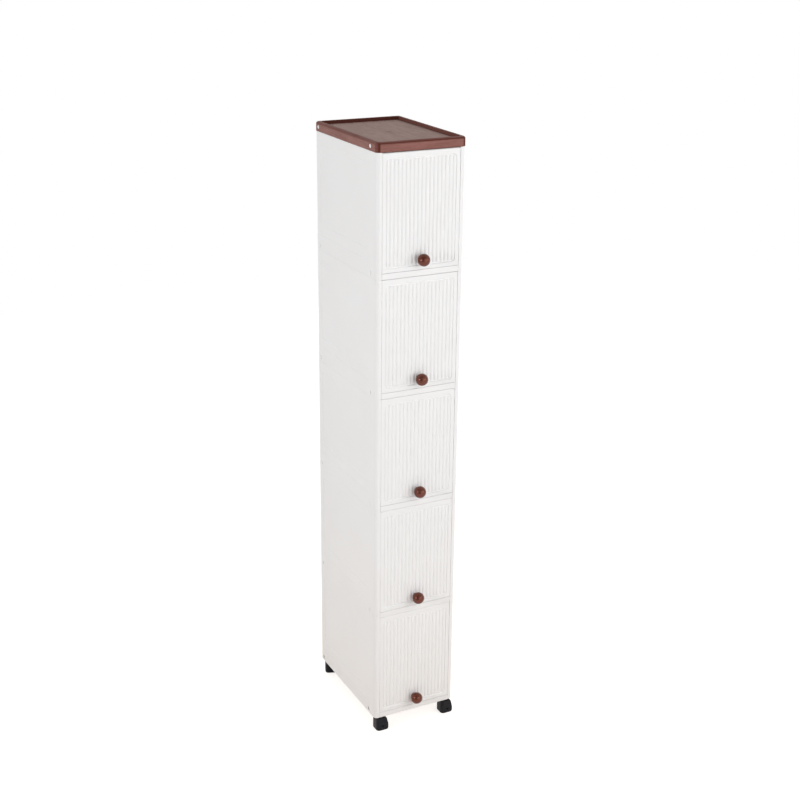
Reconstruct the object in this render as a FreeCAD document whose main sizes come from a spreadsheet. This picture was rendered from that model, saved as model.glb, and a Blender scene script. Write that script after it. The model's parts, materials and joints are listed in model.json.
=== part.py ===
"""Slim storage tower: five stacked modules with flip-up doors, a tray lid and swivel casters.

Frame: +Z up, X across the front, the doors face -Y. The origin lies on the floor under the
middle of the tower. All lengths are in millimetres.
"""
import FreeCAD, Part
import os
import re
import Sketcher

# Driving sizes: alias, value, what it is.
SIZES = (
    ("overall_width", 200, "lid across the front"),
    ("overall_depth", 300, "lid from front to back"),
    ("lid_overhang", 1, "lid past the body on every side"),
    ("base_clearance", 35, "floor to the lowest module"),
    ("module_height", 255, "one module"),
    ("level_count", 5, "stacked modules"),
    ("overrun", 2, "cutters past the face that they cut"),
    ("seat_play", 0.2, "between pieces that are pushed together"),
    ("running_play", 0.05, "round a turning pin"),
    ("press_play", 0.02, "round a pressed pin"),
    # side panel
    ("wall", 2.4, "side panel thickness"),
    ("corner_round", 9, "front corner of a side panel"),
    ("rear_round", 6, "rear corner of a side panel"),
    ("pillar_width", 11.7, "side face to the door opening"),
    ("rear_flange", 12, "rear return of a side panel"),
    ("rib_thick", 2, "stop ribs and groove ribs"),
    ("field_front", 33, "front face to the sunk side field"),
    ("field_back", 22, "rear face to the sunk side field"),
    ("field_low", 57, "module foot to the sunk side field"),
    ("field_top", 23, "module top to the sunk side field"),
    ("field_round", 7, "corner of the sunk side field"),
    ("field_sink", 0.8, "depth of the sunk fields"),
    ("line_height", 35, "module foot to the moulded line"),
    ("line_width", 1.4, "width of the moulded line"),
    ("line_sink", 0.5, "depth of the moulded line"),
    ("ledge_width", 5, "shelf ledge, out from the wall"),
    ("ledge_thick", 2.4, "shelf ledge"),
    ("ledge_setback", 4, "shelf ledge short of the tabs"),
    # stacking pegs
    ("peg_front", 30.5, "front face to the front peg"),
    ("peg_back", 15, "rear face to the rear peg"),
    ("peg_height", 9.2, "peg above the joint"),
    ("peg_radius", 3.8, "stacking peg"),
    ("peg_play", 0.15, "round a stacking peg"),
    ("peg_proud", 0.9, "peg past the side face"),
    ("tab_width", 14, "tab that carries a peg"),
    ("tab_thick", 2.4, "tab that carries a peg"),
    ("tab_rise", 14, "tab above the joint"),
    ("tab_root", 16, "tab below the joint"),
    ("tab_room", 0.6, "between a tab and the lid's tray wall"),
    # back panel
    ("back_thick", 2.4, "back panel"),
    ("groove_play", 0.1, "each side of the back panel in its groove"),
    ("back_margin", 18, "edge of the back panel to its sunk field"),
    # shelf and base
    ("rail_height", 12, "front rail of a shelf"),
    ("rail_thick", 3, "front rail of a shelf"),
    ("shelf_thick", 2.4, "shelf plate"),
    ("notch_play", 1, "shelf notch round a tab"),
    ("jamb_play", 0.5, "shelf plate to the ribs above it"),
    # door
    ("door_depth", 11.5, "door with its rim"),
    ("door_setback", 0.4, "door behind the pillars' front"),
    ("door_side_gap", 0.6, "door to pillar"),
    ("door_top_gap", 1.5, "door to the rail above"),
    ("door_low_gap", 0.8, "door to its own rail"),
    ("door_skin", 3.6, "door frame thickness"),
    ("door_rim", 2.2, "stiffening rim behind the door"),
    ("door_head", 11, "solid head along the hinge"),
    ("door_edge_round", 2.5, "front top edge of the door"),
    ("stop_width", 5, "stop rib, into the opening"),
    ("stop_play", 0.3, "closed door to its stop ribs"),
    ("stop_drop", 30, "door top to the stop ribs"),
    ("pin_radius", 2.2, "hinge pin"),
    ("pin_inset", 5, "door front to the hinge axis"),
    ("pin_drop", 5, "door top to the hinge axis"),
    ("pin_reach", 0.6, "hinge pin past the jamb"),
    ("recess_side", 8, "door side to the reeded recess"),
    ("recess_top", 11, "door top to the reeded recess"),
    ("recess_low", 8, "door foot to the reeded recess"),
    ("recess_round", 8, "corner of the reeded recess"),
    ("recess_sink", 1.8, "depth of the reeded recess"),
    ("reed_count", 18, "reeds across a door"),
    ("reed_height", 1.5, "reed above the recess floor"),
    ("reed_gap", 0.8, "flat between two reeds"),
    ("reed_embed", 0.6, "reed root in the door skin"),
    ("reed_margin", 2.4, "recess edge to the reeds' ends"),
    # knob and its screw
    ("knob_height", 22.3, "door foot to the knob's axis"),
    ("knob_radius", 13, "ball of the knob"),
    ("knob_centre", 14, "door front to the ball's centre"),
    ("foot_radius", 7, "knob foot on the door"),
    ("foot_thick", 1.5, "knob foot on the door"),
    ("neck_radius", 5.5, "knob neck"),
    ("pad_margin", 1, "flat pad past the knob foot"),
    ("screw_radius", 2, "knob screw"),
    ("screw_grip", 11, "screw in the knob"),
    ("screw_play", 0.2, "screw in the door skin"),
    ("screw_end", 0.5, "bore past the screw's tip"),
    ("head_radius", 4, "screw head"),
    ("head_height", 2.6, "screw head"),
    ("driver_slot", 1, "width of the cross recess"),
    ("driver_length", 4.6, "length of the cross recess"),
    ("driver_depth", 1.4, "depth of the cross recess"),
    # lid
    ("lid_height", 20, "lid rim"),
    ("tray_depth", 7.5, "tray below the rim"),
    ("lid_skin", 2.4, "lid's tray and rim"),
    ("lid_edge_round", 5, "outer top edge of the rim"),
    ("tray_round", 8, "corner of the tray"),
    ("gate_radius", 4.5, "moulding mark in the tray"),
    ("gate_depth", 0.5, "moulding mark in the tray"),
    # casters
    ("caster_side", 16.7, "side face to a caster stem"),
    ("caster_end", 11.6, "front or rear face to a caster stem"),
    ("boss_wall", 1.8, "stem socket in the base"),
    ("stem_radius", 4, "caster stem"),
    ("stem_grip", 8.8, "stem in its socket"),
    ("stem_end", 0.2, "bore past the stem's end"),
    ("collar_radius", 6, "stem collar under the base"),
    ("collar_thick", 1.5, "stem collar under the base"),
    ("swivel_depth", 5.5, "stem in the hood"),
    ("swivel_gap", 0.3, "collar to hood"),
    ("trail", 3.6, "stem axis to the axle"),
    ("wheel_radius", 11.5, "caster wheel"),
    ("wheel_width", 20, "caster wheel"),
    ("wheel_side_play", 0.5, "wheel to cheek"),
    ("wheel_edge", 2, "bevelled edge of the tread"),
    ("hub_radius", 5, "wheel hub"),
    ("web_sink", 1.5, "wheel face between hub and tread"),
    ("tread_depth", 3, "tread, outside the sunk wheel face"),
    ("hood_lead", 11.2, "stem axis to the hood's leading face"),
    ("hood_tail", 17.4, "stem axis to the hood's trailing face"),
    ("hood_tail_top", 12.8, "stem axis to the trailing face, at the top"),
    ("hood_shoulder", 14.6, "floor to where the trailing face slopes"),
    ("hood_width", 29, "hood along the axle"),
    ("hood_floor_gap", 0.8, "floor to the hood"),
    ("hood_nose_round", 8, "leading upright edges of the hood"),
    ("hood_foot_round", 5, "lower trailing corner of the hood"),
    ("hood_shoulder_round", 12, "bend of the trailing face"),
    ("hood_top_round", 5, "upper trailing corner of the hood"),
    ("hood_edge_round", 2.4, "edge that runs round the hood"),
    ("slot_play", 0.8, "tread to hood"),
    ("axle_radius", 2, "caster axle"),
    ("axle_recess", 0.4, "axle end below the cheek"),
    ("eye_radius", 3.4, "round recess at each axle end"),
    ("eye_depth", 1.2, "round recess at each axle end"),
)
ALIASES = {alias for alias, value, note in SIZES}

doc = FreeCAD.newDocument("storage_tower")
sheet = doc.addObject("Spreadsheet::Sheet", "Sizes")
for row, (alias, value, note) in enumerate(SIZES, start=1):
    sheet.set(f"A{row}", note)
    sheet.set(f"B{row}", str(value))
    sheet.setAlias(f"B{row}", alias)
doc.recompute()

# Places that several pieces share, as formulas of the driving sizes.
HALF_WIDTH = "(overall_width / 2 - lid_overhang)"
HALF_DEPTH = "(overall_depth / 2 - lid_overhang)"
INNER = f"({HALF_WIDTH} - wall)"
JAMB = f"({HALF_WIDTH} - pillar_width)"
SHELF_UNDER = "(rail_height - shelf_thick)"
RIBS_FROM = "(rail_height + jamb_play)"
PEG_FRONT = f"(peg_front - {HALF_DEPTH})"
PEG_BACK = f"({HALF_DEPTH} - peg_back)"
TAB_OUTER = f"({INNER} - seat_play)"
TAB_INNER = f"({TAB_OUTER} - tab_thick)"
BACK_FACE = f"({HALF_DEPTH} - wall - groove_play - back_thick)"
BACK_HALF = f"({HALF_WIDTH} - rear_round - seat_play)"
DOOR_FRONT = f"(door_setback - {HALF_DEPTH})"
DOOR_REAR = f"({DOOR_FRONT} + door_depth)"
DOOR_HALF = f"({JAMB} - door_side_gap)"
DOOR_FOOT = "(rail_height + door_low_gap)"
DOOR_TOP = "(module_height - door_top_gap)"
STOP_FACE = f"({DOOR_REAR} + stop_play)"
HINGE_Y = f"({DOOR_FRONT} + pin_inset)"
HINGE_Z = f"({DOOR_TOP} - pin_drop)"
KNOB_Z = f"({DOOR_FOOT} + knob_height)"
RECESS_HALF = f"({DOOR_HALF} - recess_side)"
RECESS_FLOOR = f"({DOOR_FRONT} + recess_sink)"
RIM = "(lid_overhang + wall + seat_play + tab_thick + tab_room + lid_skin)"
TRAY_FLOOR = "(lid_height - tray_depth)"
CASTER_X = f"({HALF_WIDTH} - caster_side)"
CASTER_Y = f"({HALF_DEPTH} - caster_end)"
HOOD_TOP = "(base_clearance - collar_thick - swivel_gap)"

# Directions that a turned or round piece can point along.
ALONG_X = FreeCAD.Rotation(FreeCAD.Vector(0, 1, 0), 90)
ALONG_Y = FreeCAD.Rotation(FreeCAD.Vector(1, 0, 0), -90)
ALONG_Z = FreeCAD.Rotation()
TO_FRONT = FreeCAD.Rotation(FreeCAD.Vector(1, 0, 0), 90)

# Casters that rest turned about their stems, in degrees; the others trail to the right.
REST_TURNS = {"rear_left": -21}


def sized(formula):
    """The formula with every size's alias written as a reference to the sheet."""
    def refer(word):
        return f"Sizes.{word.group()}" if word.group() in ALIASES else word.group()
    return re.sub(r"[a-z_]+", refer, formula)


def value_of(formula):
    """The formula's present value."""
    return float(sheet.evalExpression(sized(formula)))


def place(thing, spot, turn=ALONG_Z):
    """Turns an object and ties its base point to a triple of formulas."""
    thing.Placement = FreeCAD.Placement(FreeCAD.Vector(), turn)
    for axis, formula in zip("xyz", spot):
        thing.setExpression(f"Placement.Base.{axis}", sized(formula))
    return thing


def block(name, low, high):
    """A box between two corners, each a triple of formulas."""
    box = doc.addObject("Part::Box", name)
    for side, start, end in zip(("Length", "Width", "Height"), low, high):
        box.setExpression(side, sized(f"({end}) - ({start})"))
    return place(box, low)


def rod(name, spot, turn, radius, length):
    """A cylinder from a point along a direction."""
    cylinder = doc.addObject("Part::Cylinder", name)
    cylinder.setExpression("Radius", sized(radius))
    cylinder.setExpression("Height", sized(length))
    return place(cylinder, spot, turn)


def ball(name, spot, radius):
    """A sphere about a point."""
    sphere = doc.addObject("Part::Sphere", name)
    sphere.setExpression("Radius", sized(radius))
    return place(sphere, spot)


def joined(name, pieces):
    """Several objects fused into one solid."""
    fuse = doc.addObject("Part::MultiFuse", name)
    fuse.Shapes = pieces
    fuse.Refine = True
    return fuse


def cut(name, base, cutters):
    """An object less one or more others."""
    result = doc.addObject("Part::Cut", name)
    result.Base = base
    result.Tool = cutters[0] if len(cutters) == 1 else joined(f"{name}_cutters", cutters)
    result.Refine = True
    return result


def outline_sketch(body, role, corners, offset):
    """A closed outline of straight sides in one of a body's planes, every corner tied to formulas."""
    sketch = body.newObject("Sketcher::SketchObject", f"{body.Name}_outline")
    plane = next(item for item in body.Origin.OriginFeatures if item.Role == role)
    sketch.AttachmentSupport = [(plane, "")]
    sketch.MapMode = "FlatFace"
    sketch.setExpression("AttachmentOffset.Base.z", sized(offset))
    points = [FreeCAD.Vector(value_of(across), value_of(up), 0) for across, up in corners]
    last = len(points) - 1
    for number, point in enumerate(points):
        sketch.addGeometry(Part.LineSegment(point, points[number - last]), False)
    for number in range(len(points)):
        sketch.addConstraint(Sketcher.Constraint("Coincident", number, 2, (number - last) % len(points), 1))
    for number, corner in enumerate(corners):
        for axis, formula in zip("XY", corner):
            datum = value_of(formula)
            index = sketch.addConstraint(Sketcher.Constraint(f"Distance{axis}", -1, 1, number, 1, datum))
            sketch.renameConstraint(index, f"corner{axis}{number}")
            sketch.setExpression(f"Constraints.corner{axis}{number}", sized(formula))
    return sketch


def round_edges(body, base, edges, radius):
    """Rounds the named edges of a body's last feature."""
    rounding = body.newObject("PartDesign::Fillet", f"{body.Name}_round")
    rounding.Base = (base, edges)
    rounding.setExpression("Radius", sized(radius))
    doc.recompute()
    return rounding


# Two points nearer than this are the same corner.
SAME_PLACE = 1e-4


def edges_at(shape, spot):
    """The names of a shape's edges whose ends both lie at the given coordinates."""
    def at_spot(point):
        return all(abs(getattr(point, axis) - value) < SAME_PLACE for axis, value in spot.items())
    return [f"Edge{number}" for number, edge in enumerate(shape.Edges, start=1)
            if all(at_spot(vertex.Point) for vertex in edge.Vertexes)]


# Each plane's own across and up axes, and which way a pad grows from it.
PLANES = {"XY_Plane": ("x", "y", 1), "XZ_Plane": ("x", "z", -1), "YZ_Plane": ("y", "z", 1)}


def prism(name, role, corners, low, high, rounds=()):
    """A body padded from an outline, between two formulas along the plane's normal.

    rounds holds pairs of corner numbers and the radius that those corners get.
    """
    body = doc.addObject("PartDesign::Body", name)
    across, up, way = PLANES[role]
    start = low if way > 0 else f"-({high})"
    sketch = outline_sketch(body, role, corners, start)
    pad = body.newObject("PartDesign::Pad", f"{name}_pad")
    pad.Profile = sketch
    pad.setExpression("Length", sized(f"({high}) - ({low})"))
    doc.recompute()
    feature = pad
    for numbers, radius in rounds:
        edges = []
        for number in numbers:
            spot = {axis: value_of(formula) for axis, formula in zip((across, up), corners[number])}
            edges += edges_at(feature.Shape, spot)
        feature = round_edges(body, feature, edges, radius)
    return body


def rectangle(left, right, low, high):
    """The four corners of a rectangle, as pairs of formulas."""
    return ((left, low), (right, low), (right, high), (left, high))


def turned(name, corners, spot, turn):
    """A body turned about its own axis from an outline of radius and height pairs."""
    body = doc.addObject("PartDesign::Body", name)
    sketch = outline_sketch(body, "XZ_Plane", corners, "0")
    lathe = body.newObject("PartDesign::Revolution", f"{name}_turn")
    lathe.Profile = sketch
    lathe.ReferenceAxis = (sketch, ["V_Axis"])
    lathe.Angle = 360
    return place(body, spot, turn)


def left_side_panel():
    """The left side panel: wall with its pillar, ribs, ledge and peg tabs, in module height."""
    wall = prism(
        "side_wall", "XY_Plane",
        ((f"-{HALF_WIDTH}", HALF_DEPTH), (f"-{HALF_WIDTH}", f"-{HALF_DEPTH}"),
         (f"-{JAMB}", f"-{HALF_DEPTH}"), (f"-{JAMB}", f"wall - {HALF_DEPTH}"),
         (f"-{INNER}", f"wall - {HALF_DEPTH}"), (f"-{INNER}", f"{HALF_DEPTH} - wall"),
         (f"rear_flange - {HALF_WIDTH}", f"{HALF_DEPTH} - wall"),
         (f"rear_flange - {HALF_WIDTH}", HALF_DEPTH)),
        "0", "module_height",
        (((0,), "rear_round"), ((1,), "corner_round"),
         ((4,), "corner_round - wall"), ((5,), "rear_round - wall")))
    stop_rear = f"{STOP_FACE} + rib_thick"
    jamb = block("side_jamb", (f"-{JAMB} - wall", f"-{HALF_DEPTH} + wall / 2", RIBS_FROM),
                 (f"-{JAMB}", stop_rear, "module_height"))
    stop = block("side_stop", (f"-{JAMB} - wall / 2", STOP_FACE, RIBS_FROM),
                 (f"stop_width - {JAMB}", stop_rear, f"{DOOR_TOP} - stop_drop"))
    groove_face = f"{BACK_FACE} - groove_play"
    rib = block("side_groove_rib", (f"-{INNER} - wall / 2", f"{groove_face} - rib_thick", RIBS_FROM),
                (f"rear_flange - {HALF_WIDTH}", groove_face, "module_height"))
    ledge = block("side_ledge",
                  (f"-{INNER} - wall / 2", f"{PEG_FRONT} + tab_width / 2 + ledge_setback",
                   f"{SHELF_UNDER} - ledge_thick"),
                  (f"ledge_width - {INNER}", f"{PEG_BACK} - tab_width / 2 - ledge_setback", SHELF_UNDER))
    pieces = [wall, jamb, stop, rib, ledge]
    holes = []
    for end, peg_y in (("front", PEG_FRONT), ("rear", PEG_BACK)):
        tab_low = f"{peg_y} - tab_width / 2"
        tab_high = f"{peg_y} + tab_width / 2"
        pieces.append(block(f"side_tab_root_{end}",
                            (f"-{INNER} - wall / 2", tab_low, "module_height - tab_root"),
                            (f"-{TAB_INNER}", tab_high, "module_height")))
        pieces.append(block(f"side_tab_{end}", (f"-{TAB_OUTER}", tab_low, "module_height - tab_root"),
                            (f"-{TAB_INNER}", tab_high, "module_height + tab_rise")))
        peg_start = f"-{HALF_WIDTH} - peg_proud"
        pieces.append(rod(f"side_peg_{end}", (peg_start, peg_y, "module_height + peg_height"), ALONG_X,
                          "peg_radius", "wall + seat_play + peg_proud + tab_thick / 2"))
        holes.append(rod(f"side_peg_hole_{end}", (f"-{HALF_WIDTH} - overrun", peg_y, "peg_height"), ALONG_X,
                         "peg_radius + peg_play", "wall + 2 * overrun"))
    hinge_hole = rod("side_hinge_hole", (f"-{JAMB} - wall - overrun", HINGE_Y, HINGE_Z), ALONG_X,
                     "pin_radius + running_play", "wall + 2 * overrun")
    field = prism(
        "side_field", "YZ_Plane",
        rectangle(f"field_front - {HALF_DEPTH}", f"{HALF_DEPTH} - field_back",
                  "field_low", "module_height - field_top"),
        f"-{HALF_WIDTH} - overrun", f"field_sink - {HALF_WIDTH}", (((0, 1, 2, 3), "field_round"),))
    line = block("side_line",
                 (f"-{HALF_WIDTH} - overrun", f"field_front - {HALF_DEPTH}", "line_height - line_width / 2"),
                 (f"line_sink - {HALF_WIDTH}", f"{HALF_DEPTH} - field_back", "line_height + line_width / 2"))
    return cut("side_left", joined("side_body", pieces), holes + [hinge_hole, field, line])


def right_side_panel(left):
    """The right side panel, the left one's mirror image."""
    mirror = doc.addObject("Part::Mirroring", "side_right")
    mirror.Source = left
    mirror.Normal = FreeCAD.Vector(1, 0, 0)
    return mirror


def back_panel():
    """The back panel with a sunk field on its outer face."""
    rear_face = f"({BACK_FACE} + back_thick)"
    plate = block("back_plate", (f"-{BACK_HALF}", BACK_FACE, "0"), (BACK_HALF, rear_face, "module_height"))
    field = prism(
        "back_field", "XZ_Plane",
        rectangle(f"back_margin - {BACK_HALF}", f"{BACK_HALF} - back_margin",
                  "field_low", "module_height - field_top"),
        f"{rear_face} - field_sink", f"{rear_face} + overrun", (((0, 1, 2, 3), "field_round"),))
    return cut("back_panel", plate, [field])


def shelf(name):
    """A shelf: plate that fills the module, notched round the tabs, with the front rail under it."""
    side = f"({INNER} - seat_play)"
    rail_half = f"({JAMB} - seat_play)"
    shoulder = f"(wall + seat_play - {HALF_DEPTH})"
    rear = f"({BACK_FACE} - seat_play)"
    front = f"-{HALF_DEPTH}"
    plate = prism(
        f"{name}_plate", "XY_Plane",
        ((f"-{rail_half}", front), (rail_half, front), (rail_half, shoulder), (side, shoulder), (side, rear),
         (f"-{side}", rear), (f"-{side}", shoulder), (f"-{rail_half}", shoulder)),
        SHELF_UNDER, "rail_height",
        (((3, 6), "corner_round - wall - seat_play"), ((4, 5), "rear_round - wall - seat_play")))
    rail = block(f"{name}_rail", (f"-{rail_half}", front, "0"),
                 (rail_half, f"rail_thick - {HALF_DEPTH}", "rail_height"))
    notches = []
    for end, peg_y in (("front", PEG_FRONT), ("rear", PEG_BACK)):
        low = f"{peg_y} - tab_width / 2 - notch_play"
        high = f"{peg_y} + tab_width / 2 + notch_play"
        under = f"{SHELF_UNDER} - overrun"
        over = "rail_height + overrun"
        inner = f"{TAB_INNER} - notch_play"
        outer = f"{INNER} + overrun"
        notches.append(block(f"{name}_notch_left_{end}",
                             (f"-({outer})", low, under), (f"-({inner})", high, over)))
        notches.append(block(f"{name}_notch_right_{end}", (inner, low, under), (outer, high, over)))
    return cut(name, joined(f"{name}_body", [plate, rail]), notches)


def corner_spots():
    """Each caster's corner name and its place, as formulas."""
    return ((f"{end}_{side}", f"{x_sign}{CASTER_X}", f"{y_sign}{CASTER_Y}")
            for end, y_sign in (("front", "-"), ("rear", ""))
            for side, x_sign in (("left", "-"), ("right", "")))


def base():
    """The lowest floor: a shelf with a socket for every caster stem."""
    bosses = []
    bores = []
    for corner, x, y in corner_spots():
        bosses.append(rod(f"base_boss_{corner}", (x, y, "0"), ALONG_Z, "stem_radius + boss_wall",
                          "rail_height"))
        bores.append(rod(f"base_bore_{corner}", (x, y, "-overrun"), ALONG_Z, "stem_radius + press_play",
                         "overrun + stem_grip + stem_end"))
    return cut("base", joined("base_body", [shelf("base_floor")] + bosses), bores)


def door():
    """The flip-up door: reeded front, rim behind, and stub pins in the solid head."""
    slab = prism(
        "door_slab", "YZ_Plane",
        rectangle(DOOR_FRONT, DOOR_REAR, DOOR_FOOT, DOOR_TOP),
        f"-{DOOR_HALF}", DOOR_HALF, (((3,), "door_edge_round"),))
    hollow = block("door_hollow",
                   (f"door_rim - {DOOR_HALF}", f"{DOOR_FRONT} + door_skin", f"{DOOR_FOOT} + door_rim"),
                   (f"{DOOR_HALF} - door_rim", f"{DOOR_REAR} + overrun", f"{DOOR_TOP} - door_head"))
    recess_low = f"({DOOR_FOOT} + recess_low)"
    recess_high = f"({DOOR_TOP} - recess_top)"
    recess_outline = rectangle(f"-{RECESS_HALF}", RECESS_HALF, recess_low, recess_high)
    corners = (((0, 1, 2, 3), "recess_round"),)
    recess = prism("door_recess", "XZ_Plane", recess_outline, f"{DOOR_FRONT} - overrun", RECESS_FLOOR,
                   corners)
    shell = cut("door_shell", slab, [hollow, recess])

    pitch = f"(2 * {RECESS_HALF} / reed_count)"
    half_chord = f"(({pitch} - reed_gap) / 2)"
    curve = f"(({half_chord} ^ 2 + reed_height ^ 2) / (2 * reed_height))"
    centre_y = f"{RECESS_FLOOR} + {curve} - reed_height"
    bars = []
    for number in range(int(value_of("reed_count"))):
        centre_x = f"{pitch} * ({number} + 1 / 2) - {RECESS_HALF}"
        bars.append(rod(f"door_reed_{number + 1}", (centre_x, centre_y, f"{recess_low} + reed_margin"),
                        ALONG_Z, curve, f"{recess_high} - {recess_low} - 2 * reed_margin"))
    layer = prism("door_reed_layer", "XZ_Plane", recess_outline, DOOR_FRONT,
                  f"{RECESS_FLOOR} + reed_embed", corners)
    reeds = doc.addObject("Part::Common", "door_reeds")
    reeds.Base = joined("door_reed_bars", bars)
    reeds.Tool = layer

    pad = rod("door_knob_pad", ("0", f"{RECESS_FLOOR} + reed_embed", KNOB_Z), TO_FRONT,
              "foot_radius + pad_margin", "recess_sink + reed_embed")
    pin_length = "(door_side_gap + wall + pin_reach + door_rim)"
    pin_right = rod("door_pin_right", (f"{DOOR_HALF} - door_rim", HINGE_Y, HINGE_Z), ALONG_X,
                    "pin_radius", pin_length)
    pin_left = rod("door_pin_left", (f"door_rim - {DOOR_HALF} - {pin_length}", HINGE_Y, HINGE_Z), ALONG_X,
                   "pin_radius", pin_length)
    screw_hole = rod("door_screw_hole", ("0", f"{DOOR_FRONT} + door_skin + overrun", KNOB_Z), TO_FRONT,
                     "screw_radius + screw_play", "door_skin + 2 * overrun")
    return cut("door", joined("door_body", [shell, reeds, pad, pin_right, pin_left]), [screw_hole])


def knob():
    """The ball knob with a foot, a neck and a bore for its screw."""
    centre = f"({DOOR_FRONT} - knob_centre)"
    sphere = ball("knob_ball", ("0", centre, KNOB_Z), "knob_radius")
    foot = rod("knob_foot", ("0", DOOR_FRONT, KNOB_Z), TO_FRONT, "foot_radius", "foot_thick")
    neck = rod("knob_neck", ("0", DOOR_FRONT, KNOB_Z), TO_FRONT, "neck_radius", "knob_centre")
    bore = rod("knob_bore", ("0", f"{DOOR_FRONT} + overrun", KNOB_Z), TO_FRONT, "screw_radius + press_play",
               "overrun + screw_grip + screw_end")
    return cut("knob", joined("knob_body", [sphere, foot, neck]), [bore])


def knob_screw():
    """The screw that holds the knob, head inside the door, with a cross recess."""
    seat = f"({DOOR_FRONT} + door_skin)"
    top = f"({seat} + head_height)"
    head = rod("screw_head", ("0", top, KNOB_Z), TO_FRONT, "head_radius", "head_height")
    shank = rod("screw_shank", ("0", top, KNOB_Z), TO_FRONT, "screw_radius",
                "head_height + door_skin + screw_grip")
    floor = f"{top} - driver_depth"
    above = f"{top} + overrun"
    level = block("screw_slot_level", ("-driver_length / 2", floor, f"{KNOB_Z} - driver_slot / 2"),
                  ("driver_length / 2", above, f"{KNOB_Z} + driver_slot / 2"))
    upright = block("screw_slot_upright", ("-driver_slot / 2", floor, f"{KNOB_Z} - driver_length / 2"),
                    ("driver_slot / 2", above, f"{KNOB_Z} + driver_length / 2"))
    return cut("knob_screw", joined("screw_body", [head, shank]), [level, upright])


def lid_outline(inset):
    """The lid's outline, drawn in from its outer edge by a formula."""
    side = f"(overall_width / 2 - ({inset}))"
    end = f"(overall_depth / 2 - ({inset}))"
    return rectangle(f"-{side}", side, f"-{end}", end)


def lid():
    """The lid: a rim with a channel for the top tabs, round a sunk tray."""
    front_round = "corner_round + lid_overhang"
    rear_round = "rear_round + lid_overhang"
    block_body = prism("lid_block", "XY_Plane", lid_outline("0"), "0", "lid_height",
                       (((0, 1), front_round), ((2, 3), rear_round)))
    top_edges = edges_at(block_body.Tip.Shape, {"z": value_of("lid_height")})
    round_edges(block_body, block_body.Tip, top_edges, "lid_edge_round")
    tray = prism("lid_tray", "XY_Plane", lid_outline(RIM), TRAY_FLOOR, "lid_height + overrun",
                 (((0, 1, 2, 3), "tray_round"),))
    skirt = "(lid_overhang + wall)"
    inside_rounds = (((0, 1), "corner_round - wall"), ((2, 3), "rear_round - wall"))
    under = prism("lid_under", "XY_Plane", lid_outline(skirt), "-overrun", f"{TRAY_FLOOR} - lid_skin",
                  inside_rounds)
    channel_block = prism("lid_channel_block", "XY_Plane", lid_outline(skirt),
                          f"{TRAY_FLOOR} - lid_skin - overrun", "lid_height - lid_skin", inside_rounds)
    core = prism("lid_channel_core", "XY_Plane", lid_outline(f"{RIM} - lid_skin"),
                 f"{TRAY_FLOOR} - lid_skin - 2 * overrun", "lid_height",
                 (((0, 1, 2, 3), "tray_round + lid_skin"),))
    channel = cut("lid_channel", channel_block, [core])
    holes = [rod(f"lid_peg_hole_{end}", ("-overall_width / 2 - overrun", peg_y, "peg_height"), ALONG_X,
                 "peg_radius + peg_play", "lid_overhang + wall + 2 * overrun")
             for end, peg_y in (("front", PEG_FRONT), ("rear", PEG_BACK))]
    holes += [rod(f"lid_peg_hole_right_{end}", (f"{INNER} - overrun", peg_y, "peg_height"), ALONG_X,
                  "peg_radius + peg_play", "lid_overhang + wall + 2 * overrun")
              for end, peg_y in (("front", PEG_FRONT), ("rear", PEG_BACK))]
    gate = rod("lid_gate", ("0", "0", f"{TRAY_FLOOR} - gate_depth"), ALONG_Z, "gate_radius",
               "gate_depth + overrun")
    return cut("lid_solid", block_body, [tray, under, channel, gate] + holes)


def caster_stem():
    """The steel stem: collar under the base, grip above it, swivel pin below it."""
    foot = f"({HOOD_TOP} - swivel_depth)"
    pin = rod("stem_pin", ("0", "0", foot), ALONG_Z, "stem_radius", f"base_clearance + stem_grip - {foot}")
    collar = rod("stem_collar", ("0", "0", "base_clearance - collar_thick"), ALONG_Z, "collar_radius",
                 "collar_thick")
    return joined("caster_stem", [pin, collar])


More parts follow.
